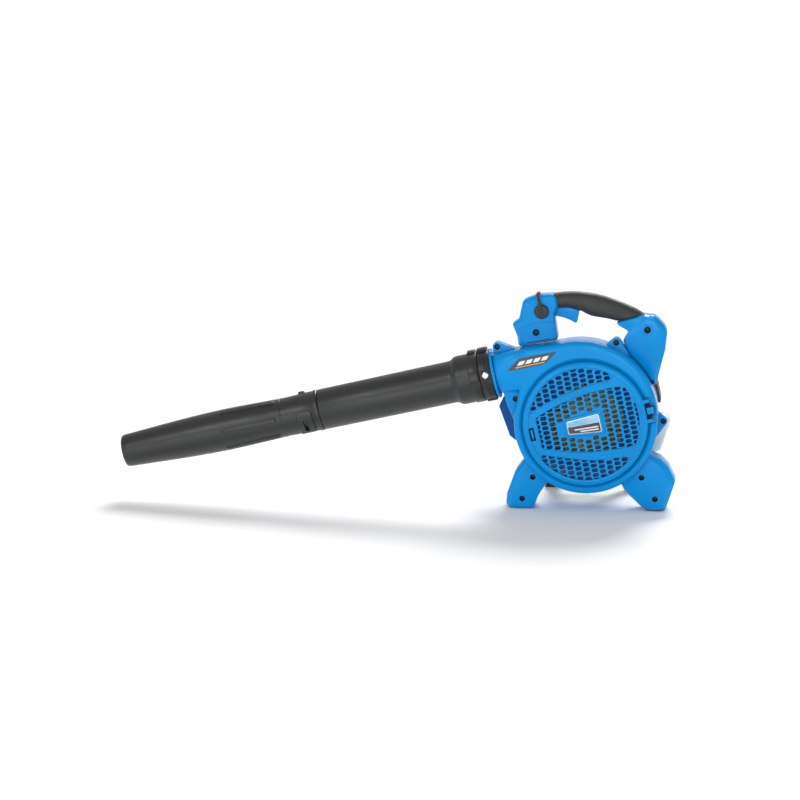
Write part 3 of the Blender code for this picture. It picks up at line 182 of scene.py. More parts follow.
# ---------------------------------------------------------------- mesh builders
def loft(rings, closed=False):
    """Skin rings of equally many points. A ring of one point closes the skin to a tip."""
    bm = bmesh.new()
    loops = [[bm.verts.new(p) for p in ring] for ring in rings]
    pairs = list(zip(loops, loops[1:]))
    if closed:
        pairs.append((loops[-1], loops[0]))
    for a, b in pairs:
        count = max(len(a), len(b))
        for i in range(count):
            j = (i + 1) % count
            if len(a) == 1:
                bm.faces.new((a[0], b[j], b[i]))
            elif len(b) == 1:
                bm.faces.new((a[i], a[j], b[0]))
            else:
                bm.faces.new((a[i], a[j], b[j], b[i]))
    if not closed:
        for ring in (loops[0], loops[-1]):
            if len(ring) > 1:
                bm.faces.new(ring)
    bmesh.ops.recalc_face_normals(bm, faces=bm.faces)
    return bm


def quarter(radius, steps):
    """(inset, depth) pairs of a rounded edge, from the face to the side."""
    pairs = []
    for k in range(steps + 1):
        a = math.radians(90.0 * k / steps)
        pairs.append((radius * (1 - math.sin(a)), radius * (1 - math.cos(a))))
    return pairs


def prism(outline, y0, y1, front=0.0, rear=0.0, steps=4):
    """Extrude an XZ outline along Y, with rounded edges at either end."""
    rings = []
    for away, depth in quarter(front, steps) if front else [(0.0, 0.0)]:
        rings.append([(x, y0 + depth, z) for x, z in inset(outline, away)])
    for away, depth in reversed(quarter(rear, steps) if rear else [(0.0, 0.0)]):
        rings.append([(x, y1 - depth, z) for x, z in inset(outline, away)])
    return loft(rings)


def turned(profile, axis="Y", centre=(0, 0, 0), segments=64, closed=False):
    """Turn a profile of (position along the axis, radius) about an axis through the centre."""
    rings = []
    for along, radius in profile:
        ring = []
        for i in range(1 if radius < 1e-6 else segments):
            a, b = polar(radius, 360.0 * (i + 0.5) / segments)
            offset = {"X": (along, a, b), "Y": (a, along, b), "Z": (a, b, along)}[axis]
            ring.append(Vector(centre) + Vector(offset))
        rings.append(ring)
    return loft(rings, closed)


def cylinder(axis, centre, radius, start, end, segments=32):
    return turned([(start, radius), (end, radius)], axis, centre, segments)


def box(low, high):
    bm = bmesh.new()
    bmesh.ops.create_cube(bm, size=1.0)
    low = Vector(low)
    size = Vector(high) - low
    for vert in bm.verts:
        vert.co = low + Vector(((vert.co.x + 0.5) * size.x, (vert.co.y + 0.5) * size.y,
                                (vert.co.z + 0.5) * size.z))
    return bm


def soft_box(low, high, radius, segments=3):
    bm = box(low, high)
    bmesh.ops.bevel(bm, geom=list(bm.edges), offset=radius, segments=segments, profile=0.5,
                    affect="EDGES")
    return bm


def tube(points, radius, sides):
    """Sweep a round section along a list of points."""
    points = [Vector(p) for p in points]
    rings = []
    reference = Vector((0.0, 1.0, 0.0))
    for i, point in enumerate(points):
        ahead = points[min(i + 1, len(points) - 1)] - points[max(i - 1, 0)]
        ahead.normalize()
        side = reference - ahead * reference.dot(ahead)
        if side.length < 0.2:
            side = Vector((1.0, 0.0, 0.0)) - ahead * ahead.x
        side.normalize()
        reference = side
        up = ahead.cross(side)
        ring = []
        for k in range(sides):
            a, b = polar(radius, 360.0 * (k + 0.5) / sides)
            ring.append(point + side * a + up * b)
        rings.append(ring)
    return loft(rings)


def smooth_path(points, per_span):
    """Points on a smooth curve through the route's own points."""
    pts = [Vector(p) for p in points]
    pts = [pts[0] * 2 - pts[1]] + pts + [pts[-1] * 2 - pts[-2]]
    result = []
    for i in range(1, len(pts) - 2):
        p0, p1, p2, p3 = pts[i - 1:i + 3]
        for k in range(per_span):
            t = k / per_span
            result.append(0.5 * (2 * p1 + (p2 - p0) * t + (2 * p0 - 5 * p1 + 4 * p2 - p3) * t ** 2
                                 + (3 * p1 - p0 - 3 * p2 + p3) * t ** 3))
    result.append(pts[-2])
    return result


def merged(parts):
    """Put several separate meshes into one."""
    bm = bmesh.new()
    for part in parts:
        mesh = bpy.data.meshes.new("part")
        part.to_mesh(mesh)
        part.free()
        bm.from_mesh(mesh)
        bpy.data.meshes.remove(mesh)
    return bm


def boolean(base, tool, operation):
    """Combine two meshes with the exact Boolean modifier. Both inputs are used up."""
    objects = []
    for bm in (base, tool):
        mesh = bpy.data.meshes.new("work")
        bm.to_mesh(mesh)
        bm.free()
        obj = bpy.data.objects.new("work", mesh)
        bpy.context.scene.collection.objects.link(obj)
        objects.append(obj)
    modifier = objects[0].modifiers.new("Boolean", "BOOLEAN")
    modifier.operation = operation
    modifier.solver = "EXACT"
    modifier.object = objects[1]
    result = bmesh.new()
    result.from_object(objects[0], bpy.context.evaluated_depsgraph_get())
    for obj in objects:
        mesh = obj.data
        bpy.data.objects.remove(obj)
        bpy.data.meshes.remove(mesh)
    bmesh.ops.remove_doubles(result, verts=result.verts, dist=0.002)
    bmesh.ops.dissolve_degenerate(result, edges=result.edges, dist=0.002)
    loose = [edge for edge in result.edges if not edge.link_faces]
    bmesh.ops.delete(result, geom=loose, context="EDGES")
    return result


def join(base, *tools):
    for tool in tools:
        base = boolean(base, tool, "UNION")
    return base


def cut(base, *tools):
    for tool in tools:
        base = boolean(base, tool, "DIFFERENCE")
    return base


def turn_to_fan(bm):
    """Re-express a mesh of the level frame in the fan frame."""
    bm.transform(Matrix.Rotation(math.radians(TILT), 4, "Y"))
    return bm


def spun(make_one, count):
    """Copies of one mesh evenly about the fan axis, as one mesh."""
    parts = []
    for k in range(count):
        part = make_one()
        part.transform(Matrix.Rotation(math.radians(360.0 / count * k), 4, "Y"))
        parts.append(part)
    return merged(parts)


# ---------------------------------------------------------------- materials
class Surface:
    """A Principled material with procedural colour, roughness and bump, in object coordinates."""

    def __init__(self, name, metallic=0.0):
        self.material = bpy.data.materials.new(name)
        self.material.use_nodes = True
        self.nodes = self.material.node_tree.nodes
        self.links = self.material.node_tree.links
        self.shader = self.nodes["Principled BSDF"]
        self.set("Metallic", metallic)
        self.place = self.nodes.new("ShaderNodeTexCoord").outputs["Object"]

    def link(self, source, target):
        self.links.new(source, target)

    def along_pipe(self, stretch):
        """Coordinates in the fan frame, drawn out along the pipe."""
        mapping = self.nodes.new("ShaderNodeMapping")
        mapping.inputs["Rotation"].default_value = (0.0, math.radians(TILT), 0.0)
        mapping.inputs["Scale"].default_value = (1.0 / stretch, 1.0, 1.0)
        self.link(self.place, mapping.inputs["Vector"])
        return mapping.outputs["Vector"]

    def noise(self, scale, detail, place=None, distortion=0.0):
        node = self.nodes.new("ShaderNodeTexNoise")
        node.inputs["Scale"].default_value = scale
        node.inputs["Detail"].default_value = detail
        node.inputs["Distortion"].default_value = distortion
        self.link(place or self.place, node.inputs["Vector"])
        return node.outputs["Fac"]

    def cells(self, scale):
        node = self.nodes.new("ShaderNodeTexVoronoi")
        node.inputs["Scale"].default_value = scale
        self.link(self.place, node.inputs["Vector"])
        return node.outputs["Distance"]

    def spread(self, value, low, high, start=0.3, end=0.7):
        """Map a noise value to a range."""
        node = self.nodes.new("ShaderNodeMapRange")
        node.inputs["From Min"].default_value = start
        node.inputs["From Max"].default_value = end
        node.inputs["To Min"].default_value = low
        node.inputs["To Max"].default_value = high
        self.link(value, node.inputs["Value"])
        return node.outputs["Result"]

    def blend(self, share, first, second):
        """Mix two colours, each a triple or a socket."""
        node = self.nodes.new("ShaderNodeMix")
        node.data_type = "RGBA"
        self.link(share, node.inputs["Factor"])
        for socket, colour in ((node.inputs["A"], first), (node.inputs["B"], second)):
            if isinstance(colour, tuple):
                socket.default_value = (*colour, 1.0)
            else:
                self.link(colour, socket)
        return node.outputs["Result"]

    def mottle(self, scale, detail, colour, dark, light):
        """A colour that drifts between a darker and a lighter shade of itself."""
        return self.blend(self.spread(self.noise(scale, detail), 0.0, 1.0), shade(colour, dark),
                          shade(colour, light))

    def edges(self, radius):
        """0 on flat parts and 1 on edges, from the difference a rounded edge makes."""
        soft = self.nodes.new("ShaderNodeBevel")
        soft.samples = 4
        soft.inputs["Radius"].default_value = radius
        geometry = self.nodes.new("ShaderNodeNewGeometry")
        dot = self.nodes.new("ShaderNodeVectorMath")
        dot.operation = "DOT_PRODUCT"
        self.link(soft.outputs["Normal"], dot.inputs[0])
        self.link(geometry.outputs["Normal"], dot.inputs[1])
        return self.spread(dot.outputs["Value"], 1.0, 0.0, 0.75, 0.98)

    def paint_recess_shade(self, colour, deep, reach):
        """Darken narrow recesses towards a dark colour: painted shade from an ambient-occlusion mask."""
        open_share = self.nodes.new("ShaderNodeAmbientOcclusion")
        open_share.samples = 6
        open_share.inputs["Distance"].default_value = reach
        return self.blend(self.spread(open_share.outputs["AO"], 1.0, 0.0, 0.1, 0.75), colour, deep)

    def relief(self, heights, edge_radius):
        """Bump from (height socket, depth in metres) pairs, over rounded edges."""
        soft = self.nodes.new("ShaderNodeBevel")
        soft.samples = 6
        soft.inputs["Radius"].default_value = edge_radius
        normal = soft.outputs["Normal"]
        for height, depth in heights:
            bump = self.nodes.new("ShaderNodeBump")
            bump.inputs["Distance"].default_value = depth
            bump.inputs["Strength"].default_value = 1.0
            self.link(height, bump.inputs["Height"])
            self.link(normal, bump.inputs["Normal"])
            normal = bump.outputs["Normal"]
        self.link(normal, self.shader.inputs["Normal"])

    def colour(self, socket):
        self.link(socket, self.shader.inputs["Base Color"])

    def roughness(self, socket):
        self.link(socket, self.shader.inputs["Roughness"])

    def set(self, name, value):
        self.shader.inputs[name].default_value = value


def shade(colour, factor):
    return tuple(min(1.0, channel * factor) for channel in colour)


def gloss_plastic(name, colour):
    """Glossy injection moulding: faint flow mottle, orange peel, a painted highlight along the edges and painted
    shade in recesses.
    """
    s = Surface(name)
    body = s.mottle(14.0, 4.0, colour, 0.93, 1.06)
    # Painted highlight: edges are mixed towards a paler colour, broken up by noise, to stand for light caught on
    # the edges.
    pale_edge_colour = tuple(0.7 * channel + 0.27 for channel in colour)
    edge_highlight_breakup = s.spread(s.noise(90.0, 3.0), 0.15, 0.6, 0.35, 0.7)
    edge = s.nodes.new("ShaderNodeMath")
    edge.operation = "MULTIPLY"
    s.link(s.edges(0.001), edge.inputs[0])
    s.link(edge_highlight_breakup, edge.inputs[1])
    # Painted shade: an ambient-occlusion mask darkens recesses towards a dark copy of the colour.
    s.colour(s.paint_recess_shade(s.blend(edge.outputs["Value"], body, pale_edge_colour), shade(colour, 0.22), 0.007))
    s.roughness(s.spread(s.noise(45.0, 5.0), 0.16, 0.27))
    s.relief([(s.noise(260.0, 2.0), 0.00006), (s.noise(1800.0, 2.0), 0.000012)], 0.001)
    s.set("Specular IOR Level", 0.16)
    return s.material


def satin_plastic(name, colour, low, high):
    """Spark-eroded moulding with a fine grain and greyer rubbed edges."""
    s = Surface(name)
    body = s.mottle(30.0, 4.0, colour, 0.85, 1.2)
    pale_edge_colour = tuple(channel * 1.3 + 0.03 for channel in colour)
    s.colour(s.blend(s.spread(s.edges(0.0006), 0.0, 0.6, 0.0, 1.0), body, pale_edge_colour))
    s.roughness(s.spread(s.noise(60.0, 5.0), low, high))
    s.relief([(s.noise(300.0, 2.0), 0.00005), (s.cells(1500.0), 0.00003)], 0.0006)
    return s.material


def pipe_plastic(name, colour):
    """Blow-moulded pipe: draw lines along its length under a soft sheen, with light scuffs."""
    s = Surface(name)
    lines = s.noise(160.0, 3.0, s.along_pipe(30.0))
    body = s.mottle(9.0, 5.0, colour, 0.88, 1.15)
    scuffs = s.spread(s.noise(70.0, 6.0, s.along_pipe(3.0), 1.5), 0.0, 0.35, 0.66, 0.8)
    s.colour(s.blend(scuffs, body, shade(colour, 2.2)))
    s.roughness(s.spread(lines, 0.33, 0.43))
    s.relief([(lines, 0.00004), (s.noise(900.0, 2.0), 0.00002)], 0.0006)
    s.set("Specular IOR Level", 0.55)
    return s.material


def grip_rubber(name, colour):
    """Soft overmould with a leather-like pebble grain, slightly polished where the hand rests."""
    s = Surface(name)
    pebbles = s.cells(900.0)
    polish = s.noise(22.0, 3.0)
    s.colour(s.blend(s.spread(pebbles, 0.0, 1.0, 0.1, 0.6), shade(colour, 1.2), shade(colour, 0.75)))
    s.roughness(s.spread(polish, 0.5, 0.68))
    s.relief([(pebbles, 0.00014), (s.noise(2500.0, 2.0), 0.00003)], 0.0008)
    return s.material


def soft_rubber(name, colour):
    s = Surface(name)
    s.colour(s.mottle(80.0, 4.0, colour, 0.8, 1.4))
    s.roughness(s.spread(s.noise(200.0, 4.0), 0.55, 0.75))
    s.relief([(s.noise(1200.0, 3.0), 0.00003)], 0.0004)
    return s.material


def fan_plastic(name, colour):
    """Glass-filled nylon: olive, with dark flow streaks and dust near the roots of the blades."""
    s = Surface(name)
    streaks = s.noise(40.0, 6.0, distortion=1.2)
    body = s.blend(s.spread(streaks, 0.0, 1.0), shade(colour, 0.55), shade(colour, 1.35))
    s.colour(s.blend(s.spread(s.noise(15.0, 3.0), 0.0, 0.5, 0.45, 0.7), body, shade(colour, 2.0)))
    s.roughness(s.spread(s.noise(120.0, 4.0), 0.42, 0.62))
    s.relief([(s.noise(700.0, 3.0), 0.00004)], 0.0005)
    return s.material


def tank_plastic(name, colour, fuel_level):
    """Milky polyethylene, a little darker and yellower where fuel stands behind the wall."""
    s = Surface(name)
    height = s.nodes.new("ShaderNodeSeparateXYZ")
    s.link(s.place, height.inputs["Vector"])
    wet = s.spread(height.outputs["Z"], 1.0, 0.0, fuel_level - 0.0015, fuel_level + 0.0015)
    cloudy = s.mottle(35.0, 4.0, colour, 0.96, 1.04)
    s.colour(s.blend(wet, cloudy, (colour[0] * 0.92, colour[1] * 0.9, colour[2] * 0.74)))
    s.roughness(s.spread(s.noise(90.0, 4.0), 0.3, 0.42))
    s.relief([(s.noise(220.0, 3.0), 0.00008), (s.noise(1500.0, 2.0), 0.00002)], 0.0008)
    s.set("Subsurface Weight", 0.35)
    s.set("Subsurface Scale", 0.012)
    return s.material


def cast_metal(name, colour):
    """Sand-cast alloy: pitted grain with smoother, brighter edges."""
    s = Surface(name, metallic=1.0)
    grain = s.noise(600.0, 6.0)
    stains = s.spread(s.noise(40.0, 5.0), 0.0, 0.6, 0.4, 0.7)
    body = s.blend(stains, colour, shade(colour, 0.62))
    s.colour(s.blend(s.edges(0.0008), body, shade(colour, 1.25)))
    s.roughness(s.spread(grain, 0.4, 0.65))
    s.relief([(grain, 0.00012), (s.noise(90.0, 3.0), 0.0001)], 0.0008)
    return s.material


def steel(name, colour, rough, wear=0.0):
    """Turned and plated steel with fine tool lines, or black oxide with worn edges."""
    s = Surface(name, metallic=1.0)
    lines = s.noise(900.0, 3.0, distortion=0.4)
    body = s.mottle(120.0, 4.0, colour, 0.8, 1.15)
    bright = s.spread(s.edges(0.0005), 0.0, wear, 0.0, 1.0)
    s.colour(s.blend(bright, body, (0.45, 0.44, 0.42)))
    s.roughness(s.spread(lines, rough - 0.06, rough + 0.1))
    s.relief([(lines, 0.00001)], 0.0003)
    return s.material


def heat_metal(name):
    """Silencer steel: matt grey-black with straw and blue heat tints."""
    s = Surface(name, metallic=1.0)
    tints = s.blend(s.spread(s.noise(28.0, 4.0), 0.0, 1.0), (0.10, 0.09, 0.085), (0.19, 0.13, 0.075))
    s.colour(s.blend(s.spread(s.noise(17.0, 3.0), 0.0, 0.7, 0.5, 0.7), tints, (0.07, 0.09, 0.14)))
    s.roughness(s.spread(s.noise(70.0, 5.0), 0.4, 0.62))
    s.relief([(s.noise(500.0, 4.0), 0.00005)], 0.0008)
    return s.material


def foam(name):
    s = Surface(name)
    pores = s.cells(1400.0)
    s.colour(s.blend(s.spread(pores, 0.0, 1.0, 0.1, 0.5), (0.012, 0.012, 0.012), (0.07, 0.07, 0.07)))
    s.roughness(s.spread(s.noise(90.0, 3.0), 0.9, 1.0))
    s.relief([(pores, 0.0004)], 0.0008)
    return s.material


def print_film(name, colour, second=None):
    """Printed film under a clear coat, with a faint screen-print grain."""
    s = Surface(name)
    fade = s.spread(s.noise(60.0, 3.0, s.along_pipe(4.0)), 0.0, 1.0)
    s.colour(s.blend(fade, colour, second or shade(colour, 0.85)))
    s.roughness(s.spread(s.noise(150.0, 3.0), 0.18, 0.3))
    s.relief([(s.noise(900.0, 2.0), 0.00002)], 0.0002)
    s.set("Coat Weight", 0.3)
    s.set("Coat Roughness", 0.08)
    return s.material


BLUE = (0.0, 0.275, 0.7)
MATERIALS = {
    "blue_plastic": gloss_plastic("blue_moulding", BLUE),
    "black_plastic": satin_plastic("black_moulding", (0.013, 0.0135, 0.013), 0.34, 0.48),
    "pipe_plastic": pipe_plastic("blown_pipe", (0.016, 0.018, 0.017)),
    "grip_rubber": grip_rubber("grip_overmould", (0.036, 0.039, 0.037)),
    "fan_plastic": fan_plastic("fan_nylon", (0.42, 0.42, 0.19)),
    "tank_plastic": tank_plastic("tank_polyethylene", (0.79, 0.86, 0.82), 0.085),
    "red_plastic": gloss_plastic("red_moulding", (0.62, 0.03, 0.015)),
    "case_grey": satin_plastic("grey_moulding", (0.36, 0.34, 0.29), 0.4, 0.55),
    "filter_foam": foam("filter_foam_surface"),
    "soft_rubber": soft_rubber("rubber_parts", (0.018, 0.018, 0.018)),
    "cast_aluminium": cast_metal("cast_alloy", (0.56, 0.57, 0.58)),
    "bright_steel": steel("plated_steel", (0.66, 0.66, 0.64), 0.24),
    "dark_steel": steel("black_oxide", (0.035, 0.035, 0.036), 0.38, 0.25),
    "badge_print": print_film("badge_blue", (0.12, 0.45, 0.78), (0.62, 0.8, 0.92)),
    "label_print": print_film("label_grey", (0.047, 0.043, 0.043)),
}
# Painted shade: a darker copy of the blue moulding, given to surfaces that lie in shade.
PAINTED_SHADE_BLUE = gloss_plastic("painted_shade_blue_moulding", (0.0, 0.1, 0.34))
SILENCER = heat_metal("silencer_steel")
BADGE_DARK = print_film("badge_dark", (0.045, 0.045, 0.05))
BADGE_PALE = print_film("badge_pale", (0.72, 0.8, 0.86), (0.85, 0.88, 0.9))
LABEL_ORANGE = print_film("label_orange", (0.85, 0.31, 0.03), (0.9, 0.42, 0.07))


# ---------------------------------------------------------------- pieces
def piece(name, bm, place, slot, body, stands_for=(), look=None, smooth=32.0):
    """Turn a mesh in millimetres into a finished piece that rides on a body."""
    bmesh.ops.recalc_face_normals(bm, faces=bm.faces)
    bm.transform(place)
    mesh = bpy.data.meshes.new(name)
    bm.to_mesh(mesh)
    bm.free()
    mesh.shade_smooth()
    mesh.set_sharp_from_angle(angle=math.radians(smooth))
    mesh.materials.append(look or MATERIALS[slot])
    obj = bpy.data.objects.new(name, mesh)
    bpy.context.scene.collection.objects.link(obj)
    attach(obj, body)
    if stands_for:
        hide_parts(*stands_for)
    return obj


def keep(node):
    """Give a CAD node its finish, and soften its edges with modifiers."""
    obj = frame["nodes"][node]
    slot = next(row["material_slot"] for row in frame["record"]["subparts"] if row["node"] == node)
    obj.data.materials.clear()
    obj.data.materials.append(MATERIALS[slot])
    weld = obj.modifiers.new("Weld", "WELD")
    weld.merge_threshold = 0.01 * MM
    bevel = obj.modifiers.new("Bevel", "BEVEL")
    bevel.width = 0.35 * MM
    bevel.segments = 2
    bevel.limit_method = "ANGLE"
    bevel.angle_limit = math.radians(34.0)
    bevel.harden_normals = True


# ---------------------------------------------------------------- fan case
CASE_FRONT = -42.0
CASE_REAR = 38.0
WALL = 3.0
BASE_RADIUS = 119.5
VOLUTE_GROWTH = 0.18
VOLUTE_START = -14.0
VOLUTE_END = 95.0
INLET_RADIUS = 65.0
DISH_RADIUS = 97.0
DISH_FLOOR = -34.0
DUCT_Y = -2.0
DUCT_Z = 109.5
OUTLET_X = -135.0
FOOT_FRONT = -30.0
FOOT_REAR = 26.0
HINGE_X = 108.5
HINGE_Y = -46.0
SCREW_HEAD = 4.4
LUG_RADIUS = 8.0
LUG_HALF_WIDTH = 13.0
TOP_LUGS = [((-118.8, 152.8), (-84, 140), (-127, 138)), ((77.2, 118.2), (55, 117), (95, 90))]
CASE_SCREWS = {
    # name: ((x, z) in the fan frame, front face of its boss, depth of the head below that face)
    "case_screw_top_left": ((-118.8, 152.8), -13.0, 3.4),
    "case_screw_top_right": ((77.2, 118.2), -13.0, 3.4),
    "case_screw_web": ((-106.0, 62.5), -28.0, 3.4),
    "foot_screw_1": (to_fan(-87.5, -95.0), FOOT_FRONT, 7.0),
    "foot_screw_2": (to_fan(-105.0, -132.0), FOOT_FRONT, 7.0),
    "foot_screw_3": (to_fan(94.0, -92.0), FOOT_FRONT, 7.0),
    "foot_screw_4": (to_fan(117.0, -128.0), FOOT_FRONT, 7.0),
}
SIDE_SCREW = to_fan(128.0, -0.5)


def volute_outline(offset):
    """Outline of the scroll in the fan frame, moved inwards by the offset."""
    points = []
    for i in range(49):
        angle = VOLUTE_START + (VOLUTE_END - VOLUTE_START) * i / 48
        radius = BASE_RADIUS + VOLUTE_GROWTH * (angle - VOLUTE_START) - offset
        points.append(polar(radius, angle))
    points += [(-45.0, 140.3 - offset), (-72.0 + offset, 141.2 - offset)]
    points += arc((0, 0), BASE_RADIUS - offset, 150.0, 346.0, 98)[:-1]
    return points


def scroll(stations):
    return loft([[(x, y, z) for x, z in volute_outline(offset)] for y, offset in stations])


def scroll_body():
    """The drum, with a well rounded front rim."""
    rim = [(CASE_FRONT + depth, away) for away, depth in quarter(8.0, 7)]
    rear = [(CASE_REAR - depth, away) for away, depth in reversed(quarter(4.0, 4))]
    return scroll(rim + rear)


def scroll_space():
    return scroll([(CASE_FRONT + WALL, 8.0), (CASE_FRONT + 8.0, WALL), (CASE_REAR - 7.0, WALL),
                   (CASE_REAR - WALL, 7.0)])


DUCT_SEGMENTS = 72


def duct(sections):
    """Loft of rounded sections: (x, centre y, centre z, half depth, half height, squareness)."""
    fine = []
    for a, b in zip(sections, sections[1:]):
        for k in range(4):
            t = k / 4
            fine.append([p + (q - p) * t for p, q in zip(a, b)])
    fine.append(sections[-1])
    rings = []
    for x, cy, cz, half_y, half_z, power in fine:
        ring = []
        for i in range(DUCT_SEGMENTS):
            c, s = polar(1.0, 360.0 * (i + 0.5) / DUCT_SEGMENTS)
            y = math.copysign(abs(c) ** (2 / power), c) * half_y
            z = math.copysign(abs(s) ** (2 / power), s) * half_z
            ring.append((x, cy + y, cz + z))
        rings.append(ring)
    return loft(rings)


def duct_body():
    return duct([(OUTLET_X + 2, DUCT_Y, DUCT_Z, 35.5, 35.0, 2.0),
                 (-122.0, DUCT_Y, 109.2, 37.6, 34.9, 2.8),
                 (-108.0, DUCT_Y - 0.1, 108.9, 39.4, 34.8, 4.2),
                 (-92.0, DUCT_Y - 0.2, 108.4, 40.0, 34.6, 6.0),
                 (-62.0, DUCT_Y - 0.3, 107.6, 40.0, 34.3, 6.0),
                 (-25.0, DUCT_Y - 0.3, 105.6, 39.3, 33.8, 6.0),
                 (0.0, DUCT_Y - 0.3, 104.0, 37.5, 33.0, 6.0)])


def duct_space():
    return duct([(OUTLET_X - 60, DUCT_Y, DUCT_Z, 31.0, 31.0, 2.0),
                 (OUTLET_X + 6, DUCT_Y, DUCT_Z, 31.0, 31.0, 2.0),
                 (-96.0, DUCT_Y - 0.2, 108.5, 35.2, 31.2, 3.0),
                 (-62.0, DUCT_Y - 0.3, 107.6, 36.6, 31.0, 4.0),
                 (0.0, DUCT_Y - 0.3, 102.0, 36.6, 28.0, 4.0)])


def creased(outline, crease, y0, y1, depth, rear=3.0, radius=5.0):
    """Moulding with a sloped front edge. The crease moves each corner of the front face inwards."""
    side = rounded(outline, radius, 4)
    face = []
    for x, z in side:
        nearest = min(range(len(outline)), key=lambda i: math.dist(outline[i], (x, z)))
        face.append((x + crease[nearest][0], z + crease[nearest][1]))
    rings = []
    for points, away, y in ((face, 1.0, 0.0), (face, 0.3, 0.3), (face, 0.0, 1.0),
                            (side, 0.4, depth - 1.4), (side, 0.0, depth)):
        rings.append([(x, y0 + y, z) for x, z in inset(points, away)])
    for away, lift in reversed(quarter(rear, 4) if rear else [(0.0, 0.0)]):
        rings.append([(x, y1 - lift, z) for x, z in inset(side, away)])
    return loft(rings)


def feet():
    left = [(-86, -42), (-100, -61), (-118, -87), (-131, -124), (-132.5, -141), (-126.5, -149),
            (-86, -149), (-79, -129), (-72, -117), (-61, -101), (-50, -84)]
    left_crease = [(6, 2), (7, 1.5), (8, 1.5), (8.5, 0.5), (7, 0), (5, 2), (-1, 2), (-1, 0), (-1, 0),
                   (-1, 0), (-1, 0)]
    right = [(57, -99), (60, -104), (68, -118), (92, -140), (100, -147), (108, -149), (128, -149),
             (135, -145.5), (150.5, -97), (139, -74.5), (125, -60.5), (111, -55), (103, -48)]
    right_crease = [(1, 0), (1.5, 1), (2.5, 2), (3.5, 3), (3, 3), (1, 3), (-2, 3), (-5, 2), (-9, -1),
                    (-8, -4), (-6, -6), (-2, -5), (-2, -4)]
    return [turn_to_fan(creased(outline, crease, FOOT_FRONT, FOOT_REAR, 8.0))
            for outline, crease in ((left, left_crease), (right, right_crease))]


def lug_outline(centre, radius, base_a, base_b):
    return convex_hull(arc(centre, radius, 0.0, 360.0, 40) + [base_a, base_b])


def screw_hole(centre, front, sink):
    """Cutter: head recess with a soft mouth."""
    head = SCREW_HEAD + GAP
    profile = [(front - 3, 0), (front - 3, head + 0.9), (front, head + 0.9), (front + 0.7, head),
               (front + sink + 3.6, head), (front + sink + 3.6, 2.3), (17.0, 2.3), (17.0, 0)]
    return turned(profile, "Y", (centre[0], 0, centre[1]), 28)


def door_groove():
    """Rounded channel in the front face, just outside the door."""
    profile = [(CASE_FRONT - 3, 103.2), (CASE_FRONT + 2.2, 103.2), (CASE_FRONT + 2.8, 104.2),
               (CASE_FRONT + 2.6, 105.6), (CASE_FRONT + 1.6, 107.2), (CASE_FRONT + 0.7, 109.6),
               (CASE_FRONT - 0.4, 111.0), (CASE_FRONT - 3, 111.0)]
    return turned(profile, segments=160, closed=True)


def hinge_pocket():
    return prism(rounded([(100.5, -22.5), (118.2, -22.5), (119.2, -12), (119.2, 12),
                          (118.2, 22.5), (100.5, 22.5)], 2.5, 4), CASE_FRONT - 6, CASE_FRONT + 2.3)


def fan_case():
    """Both halves of the case as one solid, before the split."""
    web = rounded([(-124.5, 82), (-122.5, 55), (-116.5, 24), (-98, 14), (-78, 60), (-78, 82)], 5, 5)
    case = join(scroll_body(), duct_body(), prism(web, -28.0, 28.0, 3.0, 3.0), *feet())
    for centre, base_a, base_b in TOP_LUGS:
        outline = lug_outline(centre, LUG_RADIUS, base_a, base_b)
        case = join(case, prism(outline, -LUG_HALF_WIDTH, LUG_HALF_WIDTH, 1.8, 1.2))
    flange = turned([(OUTLET_X, 41.2), (OUTLET_X + 0.8, 42.0), (OUTLET_X + 3.6, 42.0),
                     (OUTLET_X + 4.5, 41.2)], "X", (0, DUCT_Y, DUCT_Z), 96)
    spigot = cylinder("X", (0, DUCT_Y, DUCT_Z), 34.0, OUTLET_X - 30, OUTLET_X + 2, 96)
    case = join(case, flange, spigot)
    case = cut(case, join(scroll_space(), duct_space()), door_groove())
    case = join(case, cylinder("Y", (0, 0, 0), DISH_RADIUS + 2.5, CASE_FRONT + 1, DISH_FLOOR + WALL, 160))
    dish = turned([(CASE_FRONT - 9, 0), (CASE_FRONT - 9, DISH_RADIUS + 1), (CASE_FRONT, DISH_RADIUS),
                   (DISH_FLOOR - 2, DISH_RADIUS - 1), (DISH_FLOOR - 0.5, DISH_RADIUS - 1.8),
                   (DISH_FLOOR, DISH_RADIUS - 3.4), (DISH_FLOOR, 0)], segments=160)
    case = join(cut(case, dish), box((-99, CASE_FRONT, -14), (-78, DISH_FLOOR + 1, 17)))
    mouth = turned([(DISH_FLOOR - 2, INLET_RADIUS + 1.2), (DISH_FLOOR - 1.4, INLET_RADIUS + 3.2),
                    (DISH_FLOOR + 1, INLET_RADIUS + 3.6), (DISH_FLOOR + 1, INLET_RADIUS),
                    (DISH_FLOOR - 1.4, INLET_RADIUS)], segments=128, closed=True)
    eye = cylinder("Y", (0, 0, 0), INLET_RADIUS, DISH_FLOOR - 9, DISH_FLOOR + 9, 128)
    case = join(cut(case, eye), mouth)
    return cut(case, cylinder("Y", (0, 0, 0), 10.0, CASE_REAR - 9, CASE_REAR + 9), hinge_pocket())


